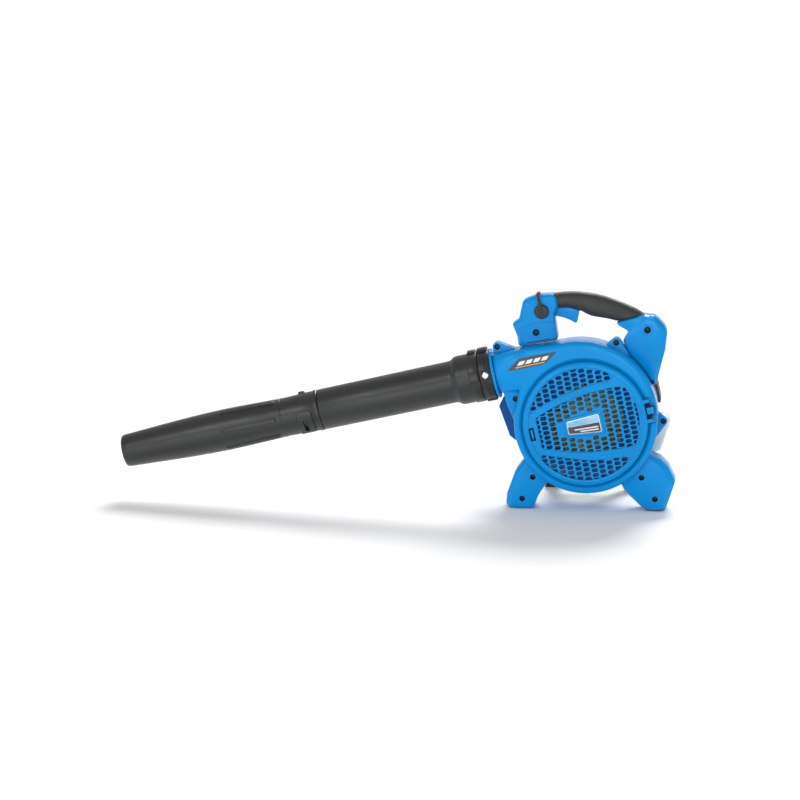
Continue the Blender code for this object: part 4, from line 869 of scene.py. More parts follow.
def add_fan_case():
    case = fan_case()
    for centre, front, sink in CASE_SCREWS.values():
        case = cut(case, screw_hole(centre, front, sink))
    tab = prism(rounded([(104.6, -5.6), (116.6, -5.6), (116.6, 5.6), (104.6, 5.6)], 1.5, 4),
                -48.8, CASE_FRONT + 3, 0.8)
    latch_slot = box((-93.5, CASE_FRONT - 2, -9), (-81.5, CASE_FRONT + 9, 12))
    case = cut(join(case, tab), latch_slot)
    case = cut(case, cylinder("Z", (HINGE_X, HINGE_Y, 0), 1.7, -9, 9))
    rim = BASE_RADIUS - 6
    side_lug = prism(lug_outline(SIDE_SCREW, 7.0, polar(rim, 12 - TILT), polar(rim, -24 - TILT)),
                     1.0, 15.0, 1.4, 0.8)
    front = cut(case.copy(), box((-300, -GAP / 2, -300), (300, 99.0, 300)))
    rear = cut(case, box((-300, -99.0, -300), (300, GAP / 2, 300)))
    rear = cut(join(rear, side_lug), screw_hole(SIDE_SCREW, 1.0, 3.4))
    rear = cut(rear, scroll_space())
    shell = piece("front_shell_moulding", front, FAN, "blue_plastic", "housing", ["front_shell"])
    # Painted shade: faces of the dish behind the grille take the darker copy of the blue.
    shell.data.materials.append(PAINTED_SHADE_BLUE)
    unplace = FAN.inverted()
    for face in shell.data.polygons:
        x, y, z = unplace @ face.center
        if math.hypot(x, z) < DISH_RADIUS - 0.3 and y > CASE_FRONT + 1.5:
            face.material_index = 1
    piece("rear_shell_moulding", rear, FAN, "blue_plastic", "housing", ["rear_shell"])


def socket_screw(centre, top, tip):
    """Button-headed screw with a six-lobed socket."""
    head = SCREW_HEAD
    profile = [(top, 0), (top, head - 1.4), (top + 0.25, head - 0.7), (top + 0.9, head - 0.1),
               (top + 1.4, head), (top + 3.2, head), (top + 3.2, 2.0), (tip, 2.0), (tip, 0)]
    place = (centre[0], 0, centre[1])
    lobes = []
    for i in range(48):
        angle = 360.0 * i / 48
        x, z = polar(2.0 + 0.32 * math.cos(math.radians(6 * angle)), angle)
        lobes.append((centre[0] + x, centre[1] + z))
    return cut(turned(profile, "Y", place, 40), prism(lobes, top - 1, top + 2.0))


def add_screws():
    for name, (centre, front, sink) in CASE_SCREWS.items():
        piece(name + "_head", socket_screw(centre, front + sink, 16.0), FAN, "dark_steel",
              "housing", [name])
    piece("case_screw_side_head", socket_screw(SIDE_SCREW, 4.4, 16.0), FAN, "dark_steel",
          "housing", ["case_screw_side"])
    for name, centre in HANDLE_SCREWS.items():
        piece(name + "_head", socket_screw(centre, 4.8, 34.0), LEVEL, "dark_steel", "housing",
              [name])


def bent(bm):
    """Bend a flat print back where the duct turns round towards the pipe."""
    bmesh.ops.subdivide_edges(bm, edges=bm.edges, cuts=3, use_grid_fill=True)
    for vert in bm.verts:
        vert.co.y += 0.004 * min(0.0, vert.co.x + 90.0) ** 2
    return bm


def add_side_label():
    """Plain label: grey field, orange stripe and a row of pale bars, with no lettering."""
    field = [(-109, 112.6), (-84, 129.5), (-20, 128.0), (-45, 112.0)]
    piece("side_label_field", bent(prism(rounded(field, 1.0, 3), -43.0, -41.8)), FAN, "label_print",
          "housing", ["side_label"])
    stripe = [(-94, 114.6), (-91.6, 116.2), (-42.6, 115.8), (-45, 114.2)]
    piece("side_label_stripe", bent(prism(stripe, -43.08, -42.8)), FAN, "label_print", "housing",
          look=LABEL_ORANGE)
    for k in range(4):
        x = -90.0 + 13.4 * k
        bar = [(x, 118.4), (x + 5.6, 124.4), (x + 15.4, 124.4), (x + 9.8, 118.4)]
        piece(f"side_label_bar_{k + 1}", bent(prism(bar, -43.08, -42.8)), FAN, "label_print",
              "housing", look=BADGE_PALE)


# ---------------------------------------------------------------- inlet door
DOOR_RADIUS = 103.8
DOOR_FRONT = -50.0
DOOR_BACK = -42.4
GRILLE_FRONT = -47.0
GRILLE_BACK = -44.2
WINDOW_RADIUS = 94.0
CELL_PITCH_X = 13.1
CELL_PITCH_Z = 8.2


def window_outlines():
    """The three grille windows of the door, in the fan frame."""
    upper = arc((0, 0), WINDOW_RADIUS, 47.0, 156.0, 40)
    upper += [(-86, 35), (-68, 42.5), (-45, 50.5), (-16, 57.5), (9.5, 61), (35, 63.4), (57, 64)]
    middle = [(-79, 24), (-76, 28), (-53, 36), (-26.5, 43), (3, 48.5), (36, 50.8), (62, 51)]
    middle += arc((0, 0), 90.5, 33.0, -34.0, 28)
    middle += [(65, -52.5), (40, -51.6), (5, -48.8), (-20.6, -44.4), (-47.7, -37), (-79, -26)]
    lower = [(-84, -35), (-57, -45), (-23, -56.6), (2, -62.8), (28, -65.5), (51, -66.6), (60, -69)]
    lower += arc((0, 0), WINDOW_RADIUS + 1, 307.0, 210.0, 36)
    return [rounded(outline, 4.0, 3) for outline in (upper, middle, lower)]


def clipped(subject, convex):
    """The part of one outline that lies in another, convex one."""
    side = 1.0 if signed_area(convex) > 0 else -1.0
    for i, (ax, az) in enumerate(convex):
        bx, bz = convex[(i + 1) % len(convex)]
        kept = []
        for j, here in enumerate(subject):
            before = subject[j - 1]
            d0, d1 = (side * ((bx - ax) * (p[1] - az) - (bz - az) * (p[0] - ax))
                      for p in (before, here))
            if d0 * d1 < 0:
                t = d0 / (d0 - d1)
                kept.append((before[0] + (here[0] - before[0]) * t,
                             before[1] + (here[1] - before[1]) * t))
            if d1 >= 0:
                kept.append(here)
        subject = kept
        if len(subject) < 3:
            return []
    return subject


def cell(x, z):
    """A stretched hexagon of the honeycomb, with its corners eased."""
    return rounded([(x + 5.6, z), (x + 3.7, z + 3.35), (x - 3.7, z + 3.35), (x - 5.6, z),
                    (x - 3.7, z - 3.35), (x + 3.7, z - 3.35)], 0.9, 2)


def thinned(outline, least):
    """Drop the points of an outline that lie closer together than the least distance."""
    kept = []
    for point in outline:
        if not kept or math.dist(point, kept[-1]) > least:
            kept.append(point)
    while len(kept) > 2 and math.dist(kept[0], kept[-1]) <= least:
        kept.pop()
    return kept


def cells_in(window, solid_parts):
    """Whole cells in a window, and what its border leaves of the others."""
    holes = []
    border = inset(window, 0.5)
    for i in range(-8, 9):
        for j in range(-23, 4):
            x = -0.7 + i * CELL_PITCH_X
            z = 80.4 + (0 if i % 2 else CELL_PITCH_Z / 2) + j * CELL_PITCH_Z
            outline = cell(x, z)
            if not all(inside(p, border) for p in outline):
                outline = thinned(clipped(border, outline), 0.4)
            if len(outline) < 4 or abs(signed_area(outline)) < 7.0:
                continue
            if not any(inside(p, part) for p in outline for part in solid_parts):
                holes.append(outline)
    return holes


def grille(outline, holes, y0, y1, draft):
    """Perforated plate whose holes narrow towards the back by the draft."""
    bm = bmesh.new()
    behind = {}
    edges = []
    for loop in [outline] + holes:
        back = loop if loop is outline else inset(loop, draft)
        verts = []
        for (x, z), (bx, bz) in zip(loop, back):
            vert = bm.verts.new((x, y0, z))
            behind[vert] = bm.verts.new((bx, y1, bz))
            verts.append(vert)
        for i, vert in enumerate(verts):
            edges.append(bm.edges.new((vert, verts[(i + 1) % len(verts)])))
    bmesh.ops.triangle_fill(bm, use_beauty=True, edges=edges)
    for face in list(bm.faces):
        bm.faces.new([behind[vert] for vert in reversed(face.verts)])
    for edge in edges:
        a, b = edge.verts
        bm.faces.new((a, b, behind[b], behind[a]))
    return bm


def badge_outline(offset):
    return inset([(-32, 12), (-33, -14), (27.5, -20.5), (27.5, 15.7)], offset)


LATCH_WINDOW = [(-94.0, -10.5), (-85.2, -10.5), (-85.2, 12.0), (-94.0, 12.0)]


def door_frame():
    """Ring and domed bars of the door, with windows whose edges are rounded over."""
    inner = DOOR_RADIUS - 9.5
    crown = []
    for k in range(11):
        angle = math.radians(9.0 * k)
        crown.append((DOOR_FRONT + 4.5 * (1 - math.cos(angle)), 97.0 + 6.8 * math.sin(angle)))
    ring = turned(crown + [(DOOR_BACK, DOOR_RADIUS), (DOOR_BACK, inner + 3), (GRILLE_BACK - 1.0, inner),
                           (DOOR_FRONT + 1.3, inner + 0.1), (DOOR_FRONT + 0.4, inner + 0.9)],
                  segments=168, closed=True)
    dome = [(GRILLE_BACK, 0), (GRILLE_BACK, 95.0)]
    for k in range(9):
        radius = 95.0 * (8 - k) / 8
        dome.append((-49.6 + 1.5 * (radius / 95.0) ** 2, radius))
    bars = turned(dome, segments=96)
    for window in window_outlines():
        rings = []
        for y, away in ((-53.0, -1.5), (-49.0, -1.2), (-48.2, -0.6), (-47.4, 0.0), (-40.0, 0.0)):
            rings.append([(x, y, z) for x, z in inset(window, away)])
        bars = cut(bars, loft(rings))
    bars = cut(bars, prism(rounded(LATCH_WINDOW, 2.0, 4), -53.0, -40.0))
    return ring, bars


def add_inlet_door():
    ring, bars = door_frame()
    arms = []
    for low, high in ((13.6, 19.6), (-19.6, -13.6)):
        arm = soft_box((96.0, -49.2, low), (HINGE_X, -43.2, high), 0.8)
        barrel = turned([(low, 0), (low, 2.6), (low + 0.6, 3.2), (high - 0.6, 3.2), (high, 2.6),
                         (high, 0)], "Z", (HINGE_X, HINGE_Y, 0), 32)
        arms.append(cut(join(arm, barrel), cylinder("Z", (HINGE_X, HINGE_Y, 0), 1.7, low - 1,
                                                    high + 1)))
    frame_mesh = cut(join(ring, bars), box((102.6, -51, -13.3), (118, -40, 13.3)))
    piece("door_frame", join(frame_mesh, *arms), FAN, "blue_plastic", "door", ["inlet_door"])

    boss = rounded(badge_outline(-2.5), 4.5, 5)
    latch_land = inset(LATCH_WINDOW, -2.0)
    plates = []
    for window in window_outlines():
        holes = cells_in(window, [boss, latch_land])
        plates.append(grille(thinned(inset(window, -0.8), 0.3), holes, GRILLE_FRONT, GRILLE_BACK, 0.25))
    piece("door_honeycomb", merged(plates), FAN, "blue_plastic", "door")
    piece("badge_boss", prism(boss, -48.9, GRILLE_BACK + 0.1, 1.6, 0.0, 6), FAN, "blue_plastic", "door")
    rim = cut(prism(rounded(badge_outline(2.0), 3.0, 5), -49.9, -48.0, 0.7),
              prism(rounded(badge_outline(3.6), 2.0, 5), -51.0, -49.4))
    piece("badge_rim", rim, FAN, "badge_print", "door", ["badge"], look=MATERIALS["bright_steel"])
    field = rounded(badge_outline(3.7), 2.0, 5)
    upper = clipped(field, [(-60, 1.5), (60, -1.5), (60, 40), (-60, 40)])
    lower = clipped(field, [(-60, 1.0), (-60, -40), (60, -40), (60, -2.0)])
    piece("badge_upper", prism(thinned(upper, 0.05), -49.7, -48.6), FAN, "badge_print", "door")
    piece("badge_lower", prism(thinned(lower, 0.05), -49.65, -48.6), FAN, "badge_print", "door",
          look=BADGE_DARK)
    for k in range(2):
        bar = [(-19 + 9 * k, -5.0 - 4.2 * k), (20.5, -6.6 - 4.2 * k), (20.5, -8.8 - 4.2 * k),
               (-19 + 9 * k, -7.0 - 4.2 * k)]
        piece(f"badge_bar_{k + 1}", prism(bar, -49.72, -49.6), FAN, "badge_print", "door",
              look=BADGE_PALE)


def add_hinge():
    pin = turned([(-20.5, 0), (-20.5, 1.0), (-20.1, 1.4), (20.1, 1.4), (20.5, 1.0), (20.5, 0)],
                 "Z", (HINGE_X, HINGE_Y, 0), 24)
    piece("hinge_pin_rod", pin, FAN, "dark_steel", "housing", ["hinge_pin"])
    parts = []
    for side in (-1, 1):
        coil = []
        for k in range(145):
            x, y = polar(2.55, 2.5 * 360.0 * k / 90)
            coil.append((HINGE_X + x, HINGE_Y + y, side * (6.6 + 6.2 * k / 144)))
        parts.append(tube(coil, 0.62, 8))
        wire = smooth_path([(HINGE_X + 2.55, HINGE_Y, side * 6.4), (112.5, -47.6, side * 7.6),
                            (116.5, -47.4, side * 7.2), (118.0, -46.9, side * 4.6),
                            (118.3, -46.8, 0)], 8)
        parts.append(tube(wire, 0.62, 8))
    piece("door_spring_wire", merged(parts), FAN, "dark_steel", "housing", ["door_spring"])
    tongue = join(soft_box((-91.6, -48.6, -7.5), (-88.2, -38.0, 9.0), 0.7),
                  box((-91.4, -43.8, -7.3), (-86.0, -42.6, 8.8)))
    piece("latch_tongue", tongue, FAN, "black_plastic", "latch", ["door_latch"],
          look=MATERIALS["blue_plastic"])


# ---------------------------------------------------------------- blow pipe
PIPE_BORE = 34.3
CLAMP_S = 10.0
CLAMP_TURN = 84.0
STUD_S = 327.0
STUD_TURN = 110.0
PIPE_SEGMENTS = 112


def pipe_turned(outer, inner):
    """Hollow turned piece from (distance from the flange, radius) stations."""
    profile = [(OUTLET_X - s, r) for s, r in outer] + [(OUTLET_X - s, r) for s, r in inner[::-1]]
    return turned(profile, "X", (0, DUCT_Y, DUCT_Z), PIPE_SEGMENTS, closed=True)


def pipe_sector(s0, s1, low, high, start, end, edge=0.0):
    """Curved pad round the pipe, between two radii and two angles from the top to the front."""
    rings = []
    steps = max(4, int(abs(end - start) / 4))
    for k in range(steps + 1):
        angle = math.radians(start + (end - start) * k / steps)
        ease = edge if k in (0, steps) else 0.0
        ring = []
        for s, radius in ((s0, low), (s0, high - edge - ease), (s0 + edge, high - ease),
                          (s1 - edge, high - ease), (s1, high - edge - ease), (s1, low)):
            ring.append((OUTLET_X - s, DUCT_Y - radius * math.sin(angle),
                         DUCT_Z + radius * math.cos(angle)))
        rings.append(ring)
    return loft(rings)


def pipe_rib(turn):
    """Rounded lengthwise rib that fades out towards the mouth."""
    rings = []
    for s, low, high, half in ((376.0, 31.0, 33.6, 2.6), (377.4, 31.0, 35.2, 3.4),
                               (380.0, 31.2, 35.9, 3.6), (420.0, 31.6, 36.7, 3.6),
                               (452.0, 32.0, 37.3, 3.6), (468.0, 32.0, 37.4, 3.6),
                               (472.0, 32.0, 36.6, 3.2), (475.0, 32.0, 34.6, 2.0)):
        ring = [(OUTLET_X - s, -half, low)]
        for start in (180.0, 90.0):
            shift = math.copysign(half - 0.8, 135.0 - start)
            for k in range(4):
                y, z = polar(0.8, start - 30.0 * k)
                ring.append((OUTLET_X - s, shift + y, high - 0.8 + z))
        ring.append((OUTLET_X - s, half, low))
        rings.append(ring)
    rib = loft(rings)
    rib.transform(Matrix.Translation((0, DUCT_Y, DUCT_Z)) @ Matrix.Rotation(math.radians(turn), 4, "X"))
    return rib


def add_blow_pipe():
    collar = pipe_turned([(0.4, 40.6), (1.0, 41.8), (2.0, 42.2), (8.6, 42.2), (9.0, 41.7),
                          (9.6, 41.7), (10.0, 42.2), (19.4, 42.2), (20.3, 41.8), (20.8, 41.0)],
                         [(0.4, PIPE_BORE), (20.8, PIPE_BORE)])
    pads = [pipe_sector(2.5, 19.5, 36.0, top, turn - 15, turn + 15, 1.0)
            for turn, top in ((0.0, 47.2), (180.0, 45.0))]
    pads.append(pipe_sector(3.6, 17.0, 36.0, 44.4, CLAMP_TURN - 10, CLAMP_TURN + 10, 0.9))
    piece("collar_ring", join(collar, *pads), FAN, "black_plastic", "housing", ["pipe_collar"])

    axis = (Matrix.Translation((0, DUCT_Y, DUCT_Z))
            @ Matrix.Rotation(math.radians(CLAMP_TURN), 4, "X"))
    head = turned([(34.6, 0), (34.6, 2.0), (44.5, 2.0), (44.5, 5.0), (44.8, 5.4), (46.4, 5.4),
                   (47.2, 4.8), (47.6, 3.6), (47.6, 0)], "Z", (OUTLET_X - CLAMP_S, 0, 0), 48)
    for span in ((0.6, 6.0), (6.0, 0.6)):
        head = cut(head, box((OUTLET_X - CLAMP_S - span[0], -span[1], 46.3),
                             (OUTLET_X - CLAMP_S + span[0], span[1], 49)))
    head.transform(axis)
    piece("clamp_screw_head", head, FAN, "bright_steel", "housing", ["clamp_screw"])

    outer = [(21.2, 41.6), (21.8, 42.7), (22.6, 43.0), (36.2, 43.0), (37.2, 42.6), (37.8, 41.7),
             (38.8, 41.5), (56.0, 41.4), (59.0, 41.1), (61.5, 40.3), (63.5, 39.2), (65.5, 37.6),
             (67.5, 36.5), (70.5, 35.8), (74.0, 35.6), (190.0, 35.1), (299.4, 34.6), (300.3, 34.2),
             (300.6, 33.2), (301.0, 32.0), (357.0, 30.4)]
    inner = [(21.2, PIPE_BORE), (34.0, PIPE_BORE), (36.0, 33.6), (299.0, 30.2), (357.0, 28.6)]
    pads = [pipe_sector(22.5, 36.5, 38.0, 46.4, -16, 16, 1.0),
            pipe_sector(22.8, 37.6, 38.0, 45.6, CLAMP_TURN - 12, CLAMP_TURN + 12, 1.2)]
    for turn in (0.0, 180.0):
        pads.append(pipe_sector(STUD_S - 2.7, STUD_S + 2.7, 29.5, 36.9, STUD_TURN + turn - 5,
                                STUD_TURN + turn + 5, 0.6))
    piece("pipe_barrel", join(pipe_turned(outer, inner), *pads), FAN, "pipe_plastic", "housing",
          ["intermediate_pipe"])

    outer = [(301.6, 34.3), (302.2, 34.9), (303.2, 35.2), (307.5, 35.2), (308.6, 34.8),
             (309.4, 34.3), (335.0, 33.6), (362.0, 32.9), (366.6, 32.9), (367.0, 33.5),
             (368.4, 33.6), (369.2, 33.0), (372.0, 33.0), (392.0, 33.7), (412.0, 34.2),
             (440.0, 34.9), (468.0, 35.3), (497.0, 34.9), (525.0, 34.1), (553.0, 32.9),
             (581.0, 31.5), (602.0, 30.3), (624.0, 29.1), (640.0, 28.2), (646.6, 27.8),
             (649.8, 27.2), (651.4, 26.3), (651.8, 25.6)]
    inner = [(301.6, 32.3), (360.0, 30.7), (366.0, 30.4), (468.0, 33.0), (525.0, 31.8),
             (624.0, 26.8), (650.6, 24.9)]
    nozzle = join(pipe_turned(outer, inner), merged([pipe_rib(26.0 + 60.0 * k) for k in range(6)]))
    pads = []
    slots = []
    for turn in (0.0, 180.0):
        start = STUD_TURN + turn
        pads.append(pipe_sector(STUD_S - 13, STUD_S + 13, 31.0, 37.9, start - 30, start + 42, 1.2))
        slots.append(pipe_sector(STUD_S - 3.3, STUD_S + 3.3, 29.0, 40.0, start - 6.5, start + 28.5))
    knob = pipe_sector(STUD_S - 2, STUD_S + 8, 32.0, 37.6, -18, -4, 0.8)
    nozzle = join(nozzle, *pads, knob)
    nozzle = cut(nozzle, pipe_turned([(301.0, 32.3), (360.0, 30.7)], [(301.0, 20.0), (360.0, 20.0)]))
    piece("nozzle_barrel", cut(nozzle, *slots), FAN, "pipe_plastic", "nozzle_body", ["nozzle"])


# ---------------------------------------------------------------- handle (level frame)
HANDLE_WIDTH = 44.0
HANDLE_SPLIT = 22.0
GRIP_SECTIONS = [
    # top and bottom of the grip, (x, z)
    ((-57.5, 211.3), (-51.2, 185.4)),
    ((-33.0, 213.9), (-32.0, 185.8)),
    ((-6.0, 213.2), (-14.0, 181.4)),
    ((22.0, 208.6), (3.0, 174.0)),
    ((50.0, 199.7), (18.0, 171.0)),
    ((77.0, 188.4), (33.0, 168.8)),
    ((94.2, 178.6), (46.8, 165.4)),
]
TRIGGER_PIVOT = (-60.5, 182.5)
CRUISE_PIVOT = (-77.1, 181.3)
HANDLE_SCREWS = {
    "handle_screw_front": (-86.2, 145.7),
    "handle_screw_rear": (99.6, 152.8),
}
POST = [
    # corner (x, z) and how far the front face's corner lies inside it
    ((-115.6, 121.0), (3, 1)), ((-118.0, 138.0), (4, 0)), ((-127.0, 160.0), (7, -1)),
    ((-115.6, 166.7), (7, -1)), ((-109.3, 197.0), (9, -2)), ((-105.5, 200.8), (8, -4)),
    ((-86.0, 208.4), (3, -5)), ((-59.0, 210.4), (-1, -4)), ((-50.8, 201.0), (-4, -1)),
    ((-50.2, 193.5), (-4, 0)), ((-51.5, 185.4), (-4, 1)), ((-55.0, 180.0), (-3.5, 1)),
    ((-55.0, 172.0), (-3.5, 0)), ((-49.0, 133.6), (-4, 1)),
]


def block_corners():
    """Corners of the handle's rear block, each with the slope of its front edge."""
    corners = [((47.6, 165.0), (2, -1)), ((50, 159.5), (2, 0.5)), ((59, 154.5), (1, 1)),
               ((68.6, 149.5), (2, 1)), ((59, 134), (2, 0)), ((62, 127), (0, 0))]
    for angle in range(62, 29, -3):
        radius = BASE_RADIUS + VOLUTE_GROWTH * (angle - TILT - VOLUTE_START) + 0.7
        corners.append((polar(radius, angle), (0, 0)))
    return corners + [((111.4, 60.5), (-0.5, 6)), ((115.5, 60), (-1.5, 6.5)), ((121, 85), (-7, 1)),
                      ((129.5, 119), (-9, 0)), ((132, 143), (-9, 0)), ((132, 152), (-8, -1)),
                      ((128, 160), (-6, -4)), ((119, 170), (-4, -5)), ((110, 176.4), (-1, -4)),
                      ((101, 176.7), (0, -3)), ((94.6, 178.1), (0, -2))]


def lug_room():
    """Cutter that keeps the handle clear of the two top lugs, in the level frame."""
    parts = []
    for centre, base_a, base_b in TOP_LUGS:
        outline = inset(lug_outline(centre, LUG_RADIUS, base_a, base_b), -0.6)
        parts.append(prism(outline, -20, LUG_HALF_WIDTH + 0.6))
    room = merged(parts)
    room.transform(Matrix.Rotation(-math.radians(TILT), 4, "Y"))
    return room


def screw_well(centre):
    head = SCREW_HEAD + 1.2
    profile = [(-4.0, 0), (-4.0, head + 0.8), (-0.6, head + 0.8), (0.2, head), (8.3, head),
               (8.3, 2.3), (34.5, 2.3), (34.5, 0)]
    return turned(profile, "Y", (centre[0], 0, centre[1]), 40)


def handle_body(corners, y0, y1, front_half):
    outline, slopes = zip(*corners)
    if front_half:
        return creased(outline, slopes, y0, y1, 7.5, rear=0.0, radius=4.5)
    return prism(rounded(outline, 4.5, 4), y0, y1, 0.0, 5.0, 5)


def handle_half(y0, y1, front_half):
    post = handle_body(POST, y0, y1, front_half)
    block = handle_body(block_corners(), y0, y1, front_half)
    x, z = TRIGGER_PIVOT
    pocket = prism([(-69, 170), (-69, 192), (-48, 192), (-48, 170)], 15.4, 28.6)
    half = merged([cut(post, pocket, cylinder("Y", (x, 0, z), 2.3, 11.7, 32.3)), block])
    if front_half:
        for centre in HANDLE_SCREWS.values():
            boss = turned([(3.0, 0), (3.0, 8.4), (-0.3, 8.4), (-0.7, 8.0), (-0.7, 0)], "Y",
                          (centre[0], 0, centre[1]), 48)
            half = join(half, boss)
    half = cut(half, lug_room())
    for centre in HANDLE_SCREWS.values():
        half = cut(half, screw_well(centre))
    return half


def add_handle():
    front = handle_half(0.3, HANDLE_SPLIT - 0.15, True)
    x, z = CRUISE_PIVOT
    hub_seat = turned([(-2.0, 0), (-2.0, 12.6), (0.5, 12.6), (2.6, 12.2), (2.6, 3.5), (10.3, 3.5),
                       (10.3, 0)], "Y", (x, 0, z), 56)
    panel = prism([(-140, 141.0), (-120, 148.6), (-91.4, 160.1), (-75.0, 162.4), (-44.0, 167.0),
                   (-44.0, 225), (-140, 225)], -3.0, 1.5)
    slit = prism([(-101.5, 127.2), (-61.2, 134.8), (-61.5, 136.2), (-101.8, 128.6)], -3.0, 3.4)
    stop_hole = prism(rounded([(-87.6, 200), (-78.8, 200), (-78.8, 220), (-87.6, 220)], 1.0, 2),
                      7.1, 14.9)
    front = cut(front, panel, hub_seat, slit, stop_hole)
    piece("handle_front_moulding", front, LEVEL, "blue_plastic", "housing", ["handle_front_half"])
    piece("handle_rear_moulding", handle_half(HANDLE_SPLIT + 0.15, HANDLE_WIDTH, False), LEVEL,
          "blue_plastic", "housing", ["handle_rear_half"])

    hub = turned([(-3.4, 0), (-3.4, 6.0), (-3.9, 6.6), (-3.9, 9.6), (-3.4, 10.6), (-2.6, 11.0),
                  (1.0, 11.0), (1.0, 3.2), (9.8, 3.2), (9.8, 0)], "Y", (x, 0, z), 64)
    arm = prism(rounded([(x - 3.0, z - 4.5), (x - 9.0, z + 31.2), (x - 5.2, z + 31.8),
                         (x + 3.0, z - 3.5)], 1.2, 3), -6.0, -3.0, 0.9, 0.0)
    ridge = prism(rounded([(x - 0.9, z - 2.0), (x - 7.4, z + 30.0), (x - 6.6, z + 30.2),
                           (x + 0.7, z - 2.0)], 0.3, 2), -6.5, -5.0, 0.4, 0.0)
    piece("cruise_lever_arm", merged([hub, arm, ridge]), LEVEL, "black_plastic", "cruise",
          ["cruise_lever"])
    button = prism(rounded([(-86.8, 203.5), (-79.6, 203.5), (-79.6, 212.6), (-81.2, 214.0),
                            (-85.2, 213.4), (-86.8, 211.6)], 1.6, 4), 7.9, 14.1, 0.9, 0.9)
    piece("stop_button_cap", button, LEVEL, "red_plastic", "stop_button", ["stop_switch"])


def grip_curve(index):
    return smooth_path([(pair[index][0], 0, pair[index][1]) for pair in GRIP_SECTIONS], 8)


def add_grip():
    rings = []
    for top, bottom in zip(grip_curve(0), grip_curve(1)):
        middle = (top + bottom) / 2
        arm = (top - bottom) / 2
        ring = []
        for i in range(56):
            c, s = polar(1.0, 360.0 * (i + 0.5) / 56)
            c = math.copysign(abs(c) ** 0.88, c)
            point = middle + arm * math.copysign(abs(s) ** 0.88, s)
            ring.append((point.x, HANDLE_SPLIT + 16.0 * c, point.z))
        rings.append(ring)
    rings[0] = [(x + 0.6, y, z) for x, y, z in rings[0]]
    rings[-1] = [(x - 0.4, y, z + 0.5) for x, y, z in rings[-1]]
    grip = loft(rings)
    slot = prism([(-60, 160), (-60, 198), (-8, 195), (-6, 160)], 15.4, 28.6)
    post_room = prism(inset([corner for corner, _ in POST], -0.4), -5, HANDLE_WIDTH + 5)
    piece("grip_overmould_body", cut(grip, slot, post_room), LEVEL, "grip_rubber", "housing", ["grip"],
          smooth=45.0)
    outline = rounded([(-66, 186.8, 2), (-52, 188.0, 2), (-30, 188.0, 8), (-14.5, 182.0, 3),
                       (-16.4, 172, 8), (-19.0, 160.0, 3), (-32, 166.6, 14), (-41.7, 170.2, 12),
                       (-55, 172.6, 4), (-66, 173, 3)], 2.5, 5)
    x, z = TRIGGER_PIVOT
    trigger = cut(prism(outline, 16.0, 28.0, 1.4, 1.4), cylinder("Y", (x, 0, z), 2.3, 10, 34))
    piece("trigger_blade", trigger, LEVEL, "blue_plastic", "trigger", ["trigger"])


# ---------------------------------------------------------------- engine and starter (fan frame)
def open_shell(outline, y0, y1, thickness, *openings):
    """Hollow moulding with its openings cut out."""
    shell = prism(outline, y0, y1, 4.0, 4.0)
    space = prism(inset(outline, thickness), y0 + thickness, y1 - thickness, 2.0, 2.0)
    return cut(shell, join(space, *openings))


def vent(low, high, radius):
    """Rounded slot cutter through a wall that faces along Y."""
    outline = rounded([(low[0], low[2]), (high[0], low[2]), (high[0], high[2]), (low[0], high[2])],
                      radius, 4)
    return prism(outline, low[1], high[1])


def add_covers():
    outline = rounded([(-134, 60), (-145, 46), (-138, -8), (-130, -18), (-52, -30), (-46, -6),
                       (-46, 66), (-120, 66)], 7, 6)
    cover = open_shell(outline, 46.0, 104.0, 2.6, box((-60, 49, -60), (-30, 101, 100)))
    slots = [vent((-97 + 9 * k, 98, -2 - k), (-92.4 + 9 * k, 108, 40 + k), 2.2) for k in range(6)]
    recess = prism(rounded([(-128, 44), (-124, -4), (-102, -9), (-100, 48), (-118, 52)], 5, 4),
                   102.6, 106.0)
    cover = cut(cover, merged(slots), cylinder("Z", (-84, 74, 0), 8.0, -60, 0),
                turned([(95, 64.5), (110, 64.5)], segments=96), recess)
    # Painted shade: the silencer cover takes the darker copy of the blue, for the shade it lies in under the duct.
    piece("muffler_cover_moulding", cover, FAN, "blue_plastic", "housing", ["muffler_cover"],
          look=PAINTED_SHADE_BLUE)

    outline = rounded([(-42, 36.5), (-42, 100), (-34, 110.5), (30, 110.5), (39, 102), (39, 36.5)],
                      6, 5)
    hood = open_shell(outline, 46.0, 100.0, 2.6, box((-60, 48.6, 30), (60, 97.4, 62)))
    ports = merged([box((36, 56, 30), (46, 97, 66)), box((-60, 50, 30), (-36, 97, 70))])
    hood = cut(hood, ports, box((-5, 90, 78), (5, 110, 108)))
    slots = [soft_box((-28 + 10.5 * k, 58, 104), (-22.5 + 10.5 * k, 88, 116), 1.5) for k in range(6)]
    piece("engine_cover_moulding", cut(hood, merged(slots)), FAN, "blue_plastic", "housing",
          ["engine_cover"])

    silencer = soft_box((-104, 52, 4), (-44, 96, 60), 6.0, 5)
    seam = soft_box((-104.6, 73.0, 3.4), (-43.4, 75.0, 60.6), 0.8)
    hole = cylinder("Z", (-84, 74, 0), 5.0, -1, 12, 40)
    piece("silencer", cut(join(silencer, seam), hole), FAN, "dark_steel", "housing", ["muffler"],
          look=SILENCER)


def side_profile(outline, stations):
    """Loft along X of a YZ outline, from (x, inset) stations."""
    rings = []
    for x, away in stations:
        rings.append([(x, y, z) for y, z in inset(outline, away)])
    return loft(rings)


FILLER = (98, 0, -57)     # axis of the filler neck and its cap
INTAKE = (0, 73, 49)      # axis of the air cleaner's outlet


